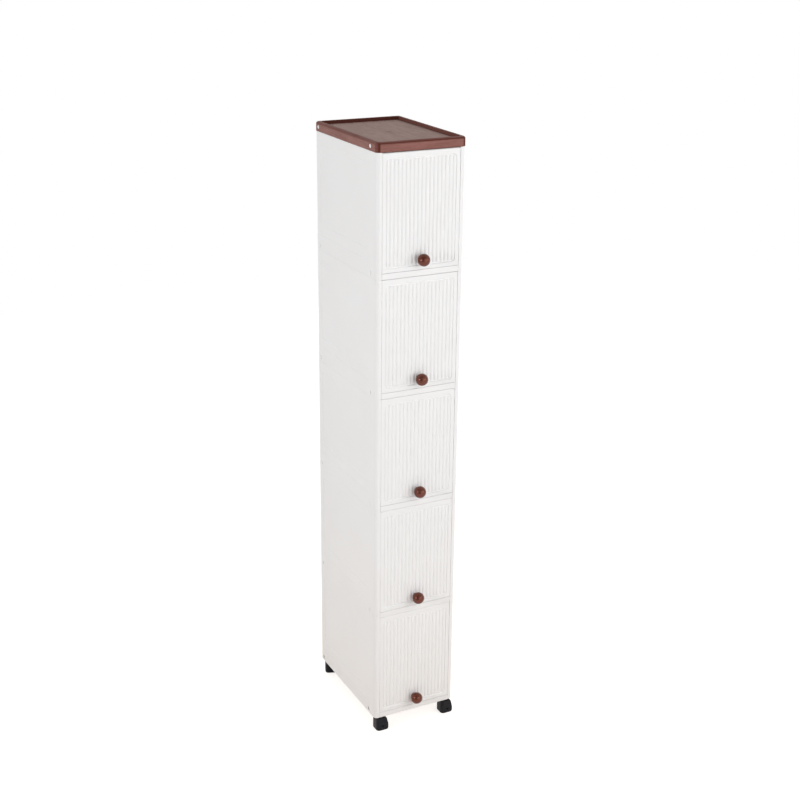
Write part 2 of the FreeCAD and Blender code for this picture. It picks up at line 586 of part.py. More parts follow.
def caster_hood():
    """The hood: tapered block with a round nose over the wheel, open below, with eyes for the axle.

    The edges round it meet smoothly, so rounding one of them rounds the whole run.
    """
    block_body = prism(
        "hood_block", "XZ_Plane",
        (("-hood_lead", "hood_floor_gap"), ("hood_tail", "hood_floor_gap"), ("hood_tail", "hood_shoulder"),
         ("hood_tail_top", HOOD_TOP), ("-hood_lead", HOOD_TOP)),
        "-hood_width / 2", "hood_width / 2",
        (((1,), "hood_foot_round"), ((2,), "hood_shoulder_round"), ((3,), "hood_top_round")))
    lead = value_of("-hood_lead")
    upright = [edge for cheek in ("-hood_width / 2", "hood_width / 2")
               for edge in edges_at(block_body.Tip.Shape, {"x": lead, "y": value_of(cheek)})]
    round_edges(block_body, block_body.Tip, upright, "hood_nose_round")
    top_edge = edges_at(block_body.Tip.Shape, {"x": lead, "z": value_of(HOOD_TOP)})
    round_edges(block_body, block_body.Tip, top_edge, "hood_edge_round")
    slot_half = "(wheel_width / 2 + wheel_side_play)"
    slot_radius = "(wheel_radius + slot_play)"
    arch = rod("hood_arch", ("trail", f"-{slot_half}", "wheel_radius"), ALONG_Y, slot_radius,
               f"2 * {slot_half}")
    mouth = block("hood_mouth", (f"trail - {slot_radius}", f"-{slot_half}", "-overrun"),
                  (f"trail + {slot_radius}", slot_half, "wheel_radius"))
    bore = rod("hood_stem_bore", ("0", "0", f"{HOOD_TOP} - swivel_depth - stem_end"), ALONG_Z,
               "stem_radius + running_play", "swivel_depth + stem_end + overrun")
    axle_hole = rod("hood_axle_hole", ("trail", "-hood_width / 2 - overrun", "wheel_radius"), ALONG_Y,
                    "axle_radius + press_play", "hood_width + 2 * overrun")
    front_eye = rod("hood_eye_front", ("trail", "eye_depth - hood_width / 2", "wheel_radius"), TO_FRONT,
                    "eye_radius", "eye_depth + overrun")
    rear_eye = rod("hood_eye_rear", ("trail", "hood_width / 2 - eye_depth", "wheel_radius"), ALONG_Y,
                   "eye_radius", "eye_depth + overrun")
    return cut("caster_hood", block_body, [arch, mouth, bore, axle_hole, front_eye, rear_eye])


def caster_axle():
    """The steel axle through both cheeks of the hood."""
    return rod("caster_axle", ("trail", "axle_recess - hood_width / 2", "wheel_radius"), ALONG_Y,
               "axle_radius", "hood_width - 2 * axle_recess")


def caster_wheel():
    """The wheel: hub, sunk faces and a tread with bevelled edges."""
    half = "wheel_width / 2"
    bore = "axle_radius + running_play"
    rim = "wheel_radius - tread_depth"
    shoulder = "wheel_radius - wheel_edge"
    upper = ((bore, half), ("hub_radius", half), ("hub_radius", f"{half} - web_sink"),
             (rim, f"{half} - web_sink"), (rim, half), (shoulder, half),
             ("wheel_radius", f"{half} - wheel_edge"))
    lower = tuple((radius, f"-({height})") for radius, height in reversed(upper))
    return turned("caster_wheel", upper + lower, ("trail", "0", "wheel_radius"), ALONG_Y)


def copy_of(master, node, spot, turn=ALONG_Z):
    """A sub-part of the tower: the master piece, named for its node, put in its place and turned."""
    link = doc.addObject("App::Link", node)
    link.LinkedObject = master
    link.LinkTransform = True
    link.Label = node
    return place(link, spot, turn)


left = left_side_panel()
module_masters = {"side_left": left, "side_right": right_side_panel(left), "back_panel": back_panel(),
                  "door": door(), "knob": knob(), "knob_screw": knob_screw()}
shelf_master = shelf("shelf")
caster_masters = {"caster_stem": caster_stem(), "caster_hood": caster_hood(),
                  "caster_axle": caster_axle(), "caster_wheel": caster_wheel()}
base_master = base()
lid_master = lid()

nodes = [copy_of(base_master, "base_tray", ("0", "0", "base_clearance"))]
for level in range(1, int(value_of("level_count")) + 1):
    spot = ("0", "0", f"base_clearance + {level - 1} * module_height")
    nodes += [copy_of(master, f"{piece}_{level}", spot) for piece, master in module_masters.items()]
    if level > 1:
        nodes.append(copy_of(shelf_master, f"shelf_{level}", spot))
nodes.append(copy_of(lid_master, "lid", ("0", "0", "base_clearance + level_count * module_height")))
for corner, x, y in corner_spots():
    turn = FreeCAD.Rotation(FreeCAD.Vector(0, 0, 1), REST_TURNS.get(corner, 0))
    nodes += [copy_of(master, f"{piece}_{corner}", (x, y, "0"), turn)
              for piece, master in caster_masters.items()]
doc.recompute()

for thing in doc.Objects:
    if "Invalid" in thing.State or "Error" in thing.State:
        raise RuntimeError(f"{thing.Name} failed: {thing.State}")
for node in nodes:
    if node.Shape.isNull() or not node.Shape.isValid():
        raise RuntimeError(f"{node.Label} has no valid shape")
    if len(node.Shape.Solids) != 1:
        raise RuntimeError(f"{node.Label} has {len(node.Shape.Solids)} solids")

os.makedirs("parts", exist_ok=True)
for node in nodes:
    node.Shape.exportStep(f"parts/{node.Label}.step")
print(f"{len(nodes)} sub-parts written")
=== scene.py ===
"""Looks of the slim storage tower: moulded panels, reeded doors, knobs, tray lid and casters.

Laid out as an add-on and run as a script. Lengths are in metres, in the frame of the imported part:
+Z up, X across the front, the doors face -Y, the origin on the floor under the tower's middle.
"""
import json
import math
from functools import partial

import bmesh
import bpy
from bpy.props import FloatProperty, FloatVectorProperty, IntProperty, PointerProperty
from mathutils import Matrix, Vector
from mathutils.geometry import intersect_point_line


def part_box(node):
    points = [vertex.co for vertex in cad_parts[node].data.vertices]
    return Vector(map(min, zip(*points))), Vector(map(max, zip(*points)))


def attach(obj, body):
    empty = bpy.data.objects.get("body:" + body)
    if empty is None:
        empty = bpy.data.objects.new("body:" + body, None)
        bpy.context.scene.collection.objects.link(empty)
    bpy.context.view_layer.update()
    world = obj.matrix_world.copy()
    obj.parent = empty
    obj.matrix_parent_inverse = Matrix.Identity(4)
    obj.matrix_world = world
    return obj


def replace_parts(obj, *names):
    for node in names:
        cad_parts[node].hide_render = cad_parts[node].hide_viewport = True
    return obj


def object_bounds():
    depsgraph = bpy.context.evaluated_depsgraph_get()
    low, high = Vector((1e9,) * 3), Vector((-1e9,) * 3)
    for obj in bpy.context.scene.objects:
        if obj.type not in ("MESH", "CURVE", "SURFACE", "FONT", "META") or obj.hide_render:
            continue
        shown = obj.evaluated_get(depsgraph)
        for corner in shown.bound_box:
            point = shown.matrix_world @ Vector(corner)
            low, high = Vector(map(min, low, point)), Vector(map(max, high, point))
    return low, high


bl_info = {
    "name": "Storage tower looks",
    "version": (1, 0, 0),
    "blender": (4, 5, 0),
    "location": "3D View > Sidebar > Tower",
    "description": "Dresses the packed storage tower: panels, reeded doors, knobs, lid and casters",
    "category": "Object",
}

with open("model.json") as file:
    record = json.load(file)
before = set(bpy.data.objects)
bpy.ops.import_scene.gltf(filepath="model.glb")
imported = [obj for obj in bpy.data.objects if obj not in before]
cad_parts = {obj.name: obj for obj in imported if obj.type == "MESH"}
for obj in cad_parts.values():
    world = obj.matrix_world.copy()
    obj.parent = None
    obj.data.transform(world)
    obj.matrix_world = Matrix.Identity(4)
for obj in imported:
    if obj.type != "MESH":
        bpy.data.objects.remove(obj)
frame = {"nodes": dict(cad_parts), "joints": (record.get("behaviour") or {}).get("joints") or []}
CAD_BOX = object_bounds()


def named(start):
    """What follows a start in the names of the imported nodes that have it."""
    return sorted(name.removeprefix(start) for name in frame["nodes"] if name.startswith(start))


LEVELS = sorted(int(level) for level in named("door_"))
CORNERS = named("caster_hood_")

# Turns that point a lathe's axis along the frame.
TO_FRONT = Matrix.Rotation(math.radians(90), 4, "X")
TO_RIGHT = Matrix.Rotation(math.radians(90), 4, "Y")
TO_REAR = Matrix.Rotation(math.radians(-90), 4, "X")
UPSIDE_DOWN = Matrix.Rotation(math.radians(180), 4, "X")

SAME_PLACE = 1e-6              # vertices nearer than this are one
SHARP = math.radians(34)       # edges that turn more than this are sharp
REED_SHARP = math.radians(50)  # the same for the reeds
CORNER = 1.5                   # a plan's small corners, in soft edges: more than 1, or they fold at the ends
BAR_CORNER = 1.25              # the same for a bar
FIELD_SLOPE = 1.5              # run of a sunk field's soft wall, in depths of the field
LINE_SLOPE = 1.4               # the same for the moulded line
NEARLY = 0.999                 # of a half circle's radius, so that its two arcs keep apart
MITRE = 0.3                    # least cosine at a sharp corner that is moved in, so that it stays near


# Sizes and colours that a user would change

def number(name, description, default, **kind):
    """A property that holds a number, of a unit or subtype."""
    return FloatProperty(name=name, description=description, default=default, **kind)


def length(name, description, default):
    """A property that holds a length."""
    return number(name, description, default, unit="LENGTH")


def position(name, description, default):
    """A property that holds a place in the frame."""
    return FloatVectorProperty(name=name, description=description, default=default, subtype="TRANSLATION")


def colour(name, description, default):
    """A property that holds a surface colour."""
    return FloatVectorProperty(name=name, description=description, default=(*default, 1.0), subtype="COLOR",
                               size=4, min=0.0, max=1.0)


class DoorSizes(bpy.types.PropertyGroup):
    """Sizes of a flip-up door."""
    half_width: length("Half width", "Middle of the door to its side", 0.0870)
    skin: length("Skin", "Thickness of the door's front", 0.0036)
    rim: length("Rim", "Stiffening rim behind the door", 0.0022)
    head: length("Head", "Solid head along the hinge", 0.011)
    side_round: length("Side rounding", "Front side and foot edges", 0.0005)
    top_round: length("Top rounding", "Front top edge", 0.0025)
    recess_side: length("Recess side", "Door side to the recess", 0.008)
    recess_top: length("Recess top", "Door top to the recess", 0.011)
    recess_low: length("Recess foot", "Door foot to the recess", 0.008)
    recess_round: length("Recess corner", "Corner radius of the recess", 0.008)
    recess_sink: length("Recess depth", "Depth of the recess", 0.0018)
    recess_slope: length("Recess slope", "Run of the recess's soft wall", 0.0012)
    reed_count: IntProperty(name="Reeds", description="Reeds across a door", default=18)
    reed_height: length("Reed height", "Reed above the recess floor", 0.0015)
    reed_gap: length("Reed gap", "Flat between two reeds", 0.0008)
    reed_end: length("Reed end", "Length of a reed's rounded end", 0.0035)
    pad_radius: length("Knob pad", "Radius of the flat pad under the knob", 0.008)
    pin_radius: length("Pin radius", "Hinge pin", 0.0022)
    pin_inset: length("Pin inset", "Door front or top to the pin's axis", 0.005)
    depth: length("Depth", "Door with its rim", 0.0115)
    setback: length("Setback", "Door behind the pillars' front", 0.0004)
    foot_lip: length("Foot lip", "Lip of the door's foot towards the rail", 0.00045)
    head_lip: length("Head lip", "Lip of the door's head towards the rail above", 0.0003)
    stop_width: length("Stop", "Stop rib, into the opening", 0.005)
    stop_play: length("Stop play", "Closed door to its stop ribs", 0.0003)
    stop_drop: length("Stop drop", "Module top to the stop ribs", 0.0315)
    reed_margin: length("Reed margin", "Recess edge to the reeds' ends", 0.0024)


class KnobSizes(bpy.types.PropertyGroup):
    """Sizes of a ball knob."""
    height: length("Height", "Door foot to the knob's axis", 0.0223)
    ball_radius: length("Ball", "Radius of the ball", 0.013)
    ball_centre: length("Ball centre", "Door front to the ball's centre", 0.013997)
    foot_radius: length("Foot", "Radius of the foot on the door", 0.007)
    foot_thick: length("Foot thickness", "Thickness of the foot", 0.0015)
    neck_radius: length("Neck", "Radius of the neck", 0.0055)


class PanelSizes(bpy.types.PropertyGroup):
    """Sizes of the side panels, the back panels and the shelves."""
    half_width: length("Half width", "Middle of the tower to a side face", 0.099)
    half_depth: length("Half depth", "Middle of the tower to the front or rear face", 0.149)
    module: length("Module", "Height of one module", 0.255)
    wall: length("Wall", "Side panel thickness", 0.0024)
    soft: length("Soft edge", "Rounding of the panels' edges", 0.0006)
    corner_round: length("Front corner", "Rounding of a front corner", 0.009)
    rear_round: length("Rear corner", "Rounding of a rear corner", 0.006)
    pillar: length("Pillar", "Side face to the door opening", 0.0117)
    flange: length("Flange", "Rear return of a side panel", 0.012)
    field_front: length("Field front", "Front face to the sunk field", 0.033)
    field_back: length("Field back", "Rear face to the sunk field", 0.022)
    field_low: length("Field foot", "Module foot to the sunk field", 0.057)
    field_top: length("Field top", "Module top to the sunk field", 0.023)
    field_round: length("Field corner", "Corner of the sunk field", 0.007)
    field_sink: length("Field depth", "Depth of the sunk field", 0.0008)
    line_height: length("Line height", "Module foot to the moulded line", 0.035)
    line_sink: length("Line depth", "Depth of the moulded line", 0.0005)
    peg_front: length("Front peg", "Front face to the front peg", 0.0305)
    peg_back: length("Rear peg", "Rear face to the rear peg", 0.015)
    peg_height: length("Peg height", "Peg above the joint", 0.0092)
    peg_radius: length("Peg radius", "Stacking peg", 0.0043)
    peg_play: length("Peg play", "Round a stacking peg", 0.00015)
    tab_width: length("Tab width", "Tab that carries a peg", 0.014)
    rail_height: length("Rail", "Height of the front rail of a shelf", 0.012)
    rail_lip: length("Rail lip", "Lip of a shelf's rail towards the door below", 0.0004)
    rail_thick: length("Rail thickness", "Front rail of a shelf", 0.003)
    back_margin: length("Back margin", "Edge of a back panel to its field", 0.018)
    rib: length("Rib", "Thickness of the ribs inside a side panel", 0.002)
    tab_gap: length("Tab gap", "Inner face of the wall to a tab", 0.0002)
    tab_root: length("Tab root", "Tab below the joint", 0.016)
    tab_rise: length("Tab rise", "Tab above the joint", 0.014)
    ledge_gap: length("Ledge gap", "Tab to the ledge under the shelf", 0.004)


class LidSizes(bpy.types.PropertyGroup):
    """Sizes of the tray lid."""
    rim: length("Rim", "Width of the rim", 0.009)
    skin: length("Skin", "Thickness of tray and rim", 0.0024)
    tray_depth: length("Tray depth", "Tray below the rim", 0.0075)
    tray_round: length("Tray corner", "Corner of the tray", 0.008)
    edge_round: length("Edge rounding", "Outer top edge of the rim", 0.005)
    soft: length("Soft edge", "Rounding of the other edges", 0.0007)
    gate_radius: length("Gate mark", "Moulding mark in the tray", 0.0045)
    gate_depth: length("Gate depth", "Depth of the moulding mark", 0.0005)


class CasterSizes(bpy.types.PropertyGroup):
    """Sizes of a caster."""
    lead: length("Lead", "Stem axis to the hood's leading face", 0.0112)
    tail: length("Tail", "Stem axis to the hood's trailing face", 0.0174)
    tail_top: length("Tail top", "Stem axis to the trailing face, at the top", 0.0128)
    shoulder: length("Shoulder", "Floor to where the trailing face slopes", 0.0146)
    shoulder_round: length("Shoulder bend", "Bend of the trailing face", 0.012)
    nose_round: length("Nose rounding", "Leading upright edges of the hood", 0.008)
    foot_round: length("Foot rounding", "Lower trailing corner of the hood", 0.005)
    top_round: length("Top rounding", "Upper trailing corner of the hood", 0.005)
    edge_round: length("Edge rounding", "Edge that runs round the hood", 0.0024)
    hood_width: length("Hood width", "Hood along the axle", 0.029)
    wheel_width: length("Wheel width", "Wheel along the axle", 0.020)
    wheel_radius: length("Wheel", "Radius of the wheel", 0.011497)
    slot_play: length("Slot play", "Tread to hood", 0.0008)
    side_play: length("Side play", "Wheel to cheek", 0.0005)
    eye_radius: length("Eye", "Round recess at each axle end", 0.0034)
    eye_depth: length("Eye depth", "Round recess at each axle end", 0.0012)
    axle_radius: length("Axle", "Caster axle", 0.002)
    hub_radius: length("Hub", "Wheel hub", 0.005)
    web_sink: length("Web", "Wheel face between hub and tread", 0.0015)
    tread_depth: length("Tread", "Tread outside the sunk wheel face", 0.003)
    tread_round: length("Tread rounding", "Rounded edge of the tread", 0.002)
    boss_radius: length("Boss", "Stem socket in the base", 0.0058)
    stem_radius: length("Stem", "Caster stem", 0.004)
    stem_play: length("Stem play", "Round the stem in its hood", 0.00005)
    stem_depth: length("Stem depth", "Bore for the stem in the hood", 0.0057)
    soft: length("Soft edge", "Rounding of the small edges", 0.0004)


class FinishColours(bpy.types.PropertyGroup):
    """Colours of the finishes."""
    white: colour("White", "White panels and doors", (0.885, 0.882, 0.882))
    white_tint: colour("White, warm", "Warmer patches of the white", (0.875, 0.868, 0.864))
    lid: colour("Lid", "Ground colour of the lid", (0.205, 0.078, 0.062))
    lid_light: colour("Lid, light", "Pale streaks in the lid", (0.305, 0.132, 0.108))
    # The plain brown where the print ends, also used as painted shade: its dark stands in for shade along the
    # front bend, in the tray's foot fillet and on the tray's end walls.
    lid_plain_and_shade: colour("Lid, plain", "Bends and inner end walls of the lid", (0.098, 0.024, 0.016))
    tray: colour("Tray", "Ground colour of the lid's tray", (0.300, 0.196, 0.172))
    tray_light: colour("Tray, light", "Pale streaks in the lid's tray", (0.390, 0.268, 0.236))
    knob: colour("Knob", "Ground colour of the knobs", (0.116, 0.028, 0.016))
    knob_light: colour("Knob, light", "Pale streaks in the knobs", (0.155, 0.046, 0.028))
    black: colour("Black", "Ground colour of the casters", (0.010, 0.010, 0.013))
    black_tint: colour("Black, grey", "Greyer patches of the casters", (0.016, 0.016, 0.019))
    steel: colour("Steel", "Stems and screws", (0.56, 0.56, 0.55))
    steel_tint: colour("Steel, dark", "Darker streaks of the steel", (0.40, 0.40, 0.40))
    axle: colour("Axle", "Blackened axles", (0.016, 0.016, 0.017))
    axle_tint: colour("Axle, dark", "Darker streaks of the axles", (0.008, 0.008, 0.009))


class StageSettings(bpy.types.PropertyGroup):
    """Camera, lamps and floor."""
    camera_place: position("Camera", "Place of the camera", (-1.26215, -2.54481, 1.78084))
    azimuth: number("Azimuth", "Camera's turn round the tower", -0.47049, subtype="ANGLE")
    elevation: number("Elevation", "Camera above the horizon", 0.35234, subtype="ANGLE")
    roll: number("Roll", "Camera's tilt", 0.01063, subtype="ANGLE")
    lens: number("Lens", "Focal length on a 36 mm sensor", 61.913, unit="CAMERA")
    key_place: position("Key place", "Place of the large softbox before the doors", (0.5, -2.6, 1.4))
    key_size: length("Key size", "Side of the large softbox", 2.6)
    key_power: number("Key", "Large softbox", 37.0, unit="POWER")
    fill_place: position("Fill place", "Place of the softbox at the left", (-2.2, -0.60, 1.30))
    fill_size: length("Fill size", "Side of the left softbox", 0.6)
    fill_power: number("Fill", "Softbox at the left", 16.0, unit="POWER")
    glint_place: position("Glint place", "Place of the small softbox at the right", (1.75, -1.85, 1.38))
    glint_size: length("Glint size", "Side of the small softbox", 0.45)
    glint_power: number("Glint", "Small softbox", 6.5, unit="POWER")
    room_light: number("Room", "Light from the white room", 0.88)
    room_dark: number("Room, camera side", "Light from behind the camera", 0.20)
    floor_light: number("Floor white", "White that the floor adds to its shade", 0.74)
    floor: colour("Floor", "Colour of the floor round the tower", (0.66, 0.57, 0.50))
    floor_far: colour("Floor, far", "Colour of the floor away from the tower", (0.58, 0.58, 0.58))


class TowerLooks(bpy.types.PropertyGroup):
    """All settings of the tower's looks."""
    door: PointerProperty(type=DoorSizes)
    knob: PointerProperty(type=KnobSizes)
    panel: PointerProperty(type=PanelSizes)
    lid: PointerProperty(type=LidSizes)
    caster: PointerProperty(type=CasterSizes)
    colours: PointerProperty(type=FinishColours)
    stage: PointerProperty(type=StageSettings)


def looks():
    """The scene's settings."""
    return bpy.context.scene.tower_looks


# Materials

def fill(tree, node, inputs):
    """Sets a node's inputs to values, or links them where the value is a socket."""
    for name, value in inputs.items():
        if isinstance(value, bpy.types.NodeSocket):
            tree.links.new(value, node.inputs[name])
        else:
            node.inputs[name].default_value = value


def add(tree, kind, inputs=None, **attributes):
    """A new node with its attributes and inputs."""
    node = tree.nodes.new(kind)
    for name, value in attributes.items():
        setattr(node, name, value)
    fill(tree, node, inputs or {})
    return node


def maths(tree, operation, first, second=0.0):
    """What an operation makes of one or two numbers."""
    return add(tree, "ShaderNodeMath", {0: first, 1: second}, operation=operation).outputs[0]


def between(tree, factor, low, high):
    """A value that goes from low to high as the factor goes from 0 to 1."""
    inputs = {"Value": factor, "To Min": low, "To Max": high}
    return add(tree, "ShaderNodeMapRange", inputs).outputs["Result"]


def spread(tree, value, low, high):
    """The part of a value between low and high, stretched to 0 to 1."""
    inputs = {"Value": value, "From Min": low, "From Max": high}
    return add(tree, "ShaderNodeMapRange", inputs).outputs["Result"]


def mixed(tree, factor, first, second):
    """Two colours mixed by a factor."""
    return add(tree, "ShaderNodeMix", {0: factor, 6: first, 7: second}, data_type="RGBA").outputs[2]


def noise(tree, place, scale, detail, roughness, twist=0.0):
    """A noise from 0 to 1."""
    inputs = {"Vector": place, "Scale": scale, "Detail": detail, "Roughness": roughness, "Distortion": twist}
    return add(tree, "ShaderNodeTexNoise", inputs).outputs["Fac"]


def group(name, inputs, outputs):
    """A new shader group with its sockets, and its input and output nodes."""
    tree = bpy.data.node_groups.new(name, "ShaderNodeTree")
    for label, default in inputs.items():
        kind = "NodeSocketVector" if isinstance(default, tuple) else "NodeSocketFloat"
        tree.interface.new_socket(name=label, in_out="INPUT", socket_type=kind).default_value = default
    for label in outputs:
        tree.interface.new_socket(name=label, in_out="OUTPUT", socket_type="NodeSocketFloat")
    return tree, tree.nodes.new("NodeGroupInput").outputs, tree.nodes.new("NodeGroupOutput")


def moulded_skin():
    """Group: the fine grain of a moulded surface, and the slow mottle of its colour and gloss."""
    tree, source, result = group(
        "Moulded skin", {"Place": (0.0, 0.0, 0.0), "Grain": 900.0, "Mottle": 9.0}, ("Grain", "Mottle"))
    grain = noise(tree, source["Place"], source["Grain"], detail=3.0, roughness=0.55)
    mottle = noise(tree, source["Place"], source["Mottle"], detail=4.0, roughness=0.6)
    fill(tree, result, {"Grain": grain, "Mottle": spread(tree, mottle, low=0.3, high=0.7)})
    return tree


def drawn_streaks():
    """Group: long level streaks, as in printed wood grain or drawn steel."""
    tree, source, result = group(
        "Drawn streaks", {"Place": (0.0, 0.0, 0.0), "Stretch": (7.0, 7.0, 420.0), "Twist": 0.6},
        ("Streak", "Pore"))

    def stretched(place, reach):
        return add(tree, "ShaderNodeVectorMath", {0: place, 1: reach}, operation="MULTIPLY").outputs["Vector"]
    run = stretched(source["Place"], source["Stretch"])
    finer = stretched(run, (5.0, 5.0, 3.0))
    streak = noise(tree, run, scale=1.0, detail=5.0, roughness=0.62, twist=source["Twist"])
    pore = noise(tree, finer, scale=1.0, detail=2.0, roughness=0.5)
    fill(tree, result, {"Streak": spread(tree, streak, low=0.28, high=0.72),
                        "Pore": spread(tree, pore, low=0.52, high=0.72)})
    return tree


def skin_on(tree, place, grain, mottle):
    """The moulded skin's outputs in a material."""
    made = bpy.data.node_groups.get("Moulded skin") or moulded_skin()
    inputs = {"Place": place, "Grain": grain, "Mottle": mottle}
    return add(tree, "ShaderNodeGroup", inputs, node_tree=made).outputs


def streaks_on(tree, place, stretch, twist=0.6):
    """The drawn streaks' outputs in a material."""
    made = bpy.data.node_groups.get("Drawn streaks") or drawn_streaks()
    inputs = {"Place": place, "Stretch": stretch, "Twist": twist}
    return add(tree, "ShaderNodeGroup", inputs, node_tree=made).outputs


def blank_material(name):
    """A new material: itself, its tree, its shader and the object coordinates."""
    made = bpy.data.materials.new(name)
    made.use_nodes = True
    tree = made.node_tree
    return made, tree, tree.nodes["Principled BSDF"], add(tree, "ShaderNodeTexCoord").outputs["Object"]


def bumped(tree, height, strength, distance):
    """The normal of a bump from a height."""
    inputs = {"Height": height, "Strength": strength, "Distance": distance}
    return add(tree, "ShaderNodeBump", inputs).outputs["Normal"]


def plastic(name, first, second, grain, mottle, gloss, relief, shine=0.5):
    """A moulded plastic of two near colours, a range of roughness and a relief in metres."""
    made, tree, shader, place = blank_material(name)
    skin = skin_on(tree, place, grain, mottle)
    fill(tree, shader, {
        "Base Color": mixed(tree, skin["Mottle"], first, second),
        "Roughness": between(tree, skin["Mottle"], *gloss),
        "Specular IOR Level": shine,
        "Normal": bumped(tree, skin["Grain"], strength=0.35, distance=relief)})
    return made


def satin_brown(name, stretch, shine):
    """A satin brown to be coloured: the material, its tree, shader, place, streaks and skin."""
    made, tree, shader, place = blank_material(name)
    streaks = streaks_on(tree, place, stretch, twist=0.5)
    skin = skin_on(tree, place, grain=1500.0, mottle=22.0)
    fill(tree, shader, {
        "Specular IOR Level": shine,
        "Normal": bumped(tree, skin["Grain"], strength=0.25, distance=0.00006)})
    return made, tree, shader, place, streaks, skin


def streaked(tree, streaks, ground, light):
    """A colour that runs in streaks from ground to light, with darker pores."""
    tone = mixed(tree, streaks["Streak"], ground, light)
    pore_share, pore_shade = 0.45, 0.6
    pores = between(tree, streaks["Pore"], 0.0, pore_share)
    return mixed(tree, pores, tone, [part * pore_shade for part in ground])


def knob_brown(name, tones):
    """The knobs' brown: a pearly lacquer whose gloss takes on its colour."""
    made, tree, shader, _, streaks, skin = satin_brown(name, stretch=(60.0, 60.0, 500.0), shine=0.4)
    fill(tree, shader, {
        "Base Color": streaked(tree, streaks, tones.knob, tones.knob_light),
        "Roughness": between(tree, skin["Mottle"], low=0.22, high=0.30),
        "Metallic": 0.45})
    return made


def lid_brown(name, tones):
    """The lid's brown: a wood print on its sides, fainter on rim top and walls, a paler one in the tray; the
    dark plain brown left elsewhere is partly painted shade, along the front bend, in the tray's foot fillet
    and on its end walls.
    """
    made, tree, shader, place, streaks, skin = satin_brown(name, stretch=(16.0, 16.0, 330.0), shine=0.15)
    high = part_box("lid")[1]
    size = looks().lid
    reach = size.rim - size.soft
    # Ranges of the normal in which a face counts as flat, upright, straight along a side, or bent over.
    flat, upright, straight, bent = (0.90, 0.985), (0.30, 0.05), (0.95, 0.995), (0.55, 0.80)
    # Less print leaves the dark plain brown, which is painted shade where the bends face the front and on the
    # tray's end walls.
    rim_print, wall_print = 0.5, 0.8
    combined = partial(maths, tree)

    def size_of(vector):
        away = add(tree, "ShaderNodeVectorMath", {0: vector}, operation="ABSOLUTE").outputs["Vector"]
        return add(tree, "ShaderNodeSeparateXYZ", {0: away}).outputs
    spot = size_of(place)
    facing = size_of(add(tree, "ShaderNodeNewGeometry").outputs["True Normal"])
    within = combined("MULTIPLY", combined("LESS_THAN", spot["X"], high.x - reach),
                      combined("LESS_THAN", spot["Y"], high.y - reach))
    sides = combined("MULTIPLY", spread(tree, facing["Z"], *upright),
                     spread(tree, combined("MAXIMUM", facing["X"], facing["Y"]), *straight))
    # The bends get at most half the print, and least where they face the front, so a band of painted shade
    # runs along the front bend.
    over = combined("MULTIPLY", spread(tree, combined("MAXIMUM", facing["X"], facing["Z"]), *bent), rim_print)
    outer = combined("MULTIPLY", combined("SUBTRACT", 1.0, within), combined("MAXIMUM", sides, over))
    # Only the tray's walls that face the sides get print. Its end walls, which face front and rear, and the
    # fillet at the tray's foot keep the dark plain brown as painted shade.
    walls = combined("MULTIPLY", within, combined("MULTIPLY", spread(tree, facing["X"], *flat), wall_print))
    tray = combined("MULTIPLY", within, spread(tree, facing["Z"], *flat))
    print_tone = streaked(tree, streaks, tones.lid, tones.lid_light)
    along = streaks_on(tree, place, stretch=(60.0, 9.0, 9.0), twist=0.9)
    tray_tone = streaked(tree, along, tones.tray, tones.tray_light)
    # Where there is no print the tone is the dark plain brown: partly the lid's own plain colour, partly
    # painted shade.
    tone = mixed(tree, combined("MAXIMUM", outer, walls), tones.lid_plain_and_shade, print_tone)
    plain_rough = between(tree, skin["Mottle"], low=0.64, high=0.78)
    print_rough = between(tree, skin["Mottle"], low=0.34, high=0.46)
    fill(tree, shader, {
        "Base Color": mixed(tree, tray, tone, tray_tone),
        "Roughness": between(tree, outer, plain_rough, print_rough)})
    return made


def drawn_steel(name, ground, dark):
    """Plated steel with fine drawn streaks."""
    made, tree, shader, place = blank_material(name)
    drawn = streaks_on(tree, place, stretch=(260.0, 260.0, 2600.0))
    fill(tree, shader, {
        "Base Color": mixed(tree, drawn["Streak"], ground, dark),
        "Roughness": between(tree, drawn["Streak"], low=0.28, high=0.45),
        "Metallic": 1.0,
        "Normal": bumped(tree, drawn["Pore"], strength=0.2, distance=0.00003)})
    return made


def finish(name):
    """The material of that name, built when it is first asked for."""
    tones = looks().colours
    # A plastic has two colours, the scales of grain and mottle, a range of roughness, a relief and a shine.
    makers = {
        "panel_white": (plastic, tones.white, tones.white_tint, 1100.0, 7.0, (0.36, 0.46), 0.00004),
        "door_white": (plastic, tones.white, tones.white_tint, 1400.0, 11.0, (0.30, 0.40), 0.00003),
        "lid_brown": (lid_brown, tones),
        "knob_brown": (knob_brown, tones),
        "hood_black": (plastic, tones.black, tones.black_tint, 1600.0, 60.0, (0.36, 0.48), 0.00005, 0.12),
        "wheel_black": (plastic, tones.black_tint, tones.black, 900.0, 120.0, (0.50, 0.66), 0.00008, 0.1),
        "drawn_steel": (drawn_steel, tones.steel, tones.steel_tint),
        "axle_steel": (drawn_steel, tones.axle, tones.axle_tint),
    }
    maker, *values = makers[name]
    return bpy.data.materials.get(name) or maker(name, *values)


# Mesh building

def lathe(bm, profile, place, steps=48, ring=False):
    """Adds a shape turned from radius and height pairs; a ring's profile closes on itself."""
    angles = [2 * math.pi * step / steps for step in range(steps)]
    rows = []
    for radius, height in profile:
        rows.append([bm.verts.new(place @ Vector((radius * math.cos(turn), radius * math.sin(turn), height)))
                     for turn in (angles if radius else angles[:1])])
    pairs = list(zip(rows, rows[1:]))
    if ring:
        pairs.append((rows[-1], rows[0]))
    for low, high in pairs:
        for step in range(steps):
            after = step + 1
            corners = (low[step % len(low)], low[after % len(low)], high[after % len(high)],
                       high[step % len(high)])
            bm.faces.new(dict.fromkeys(corners))


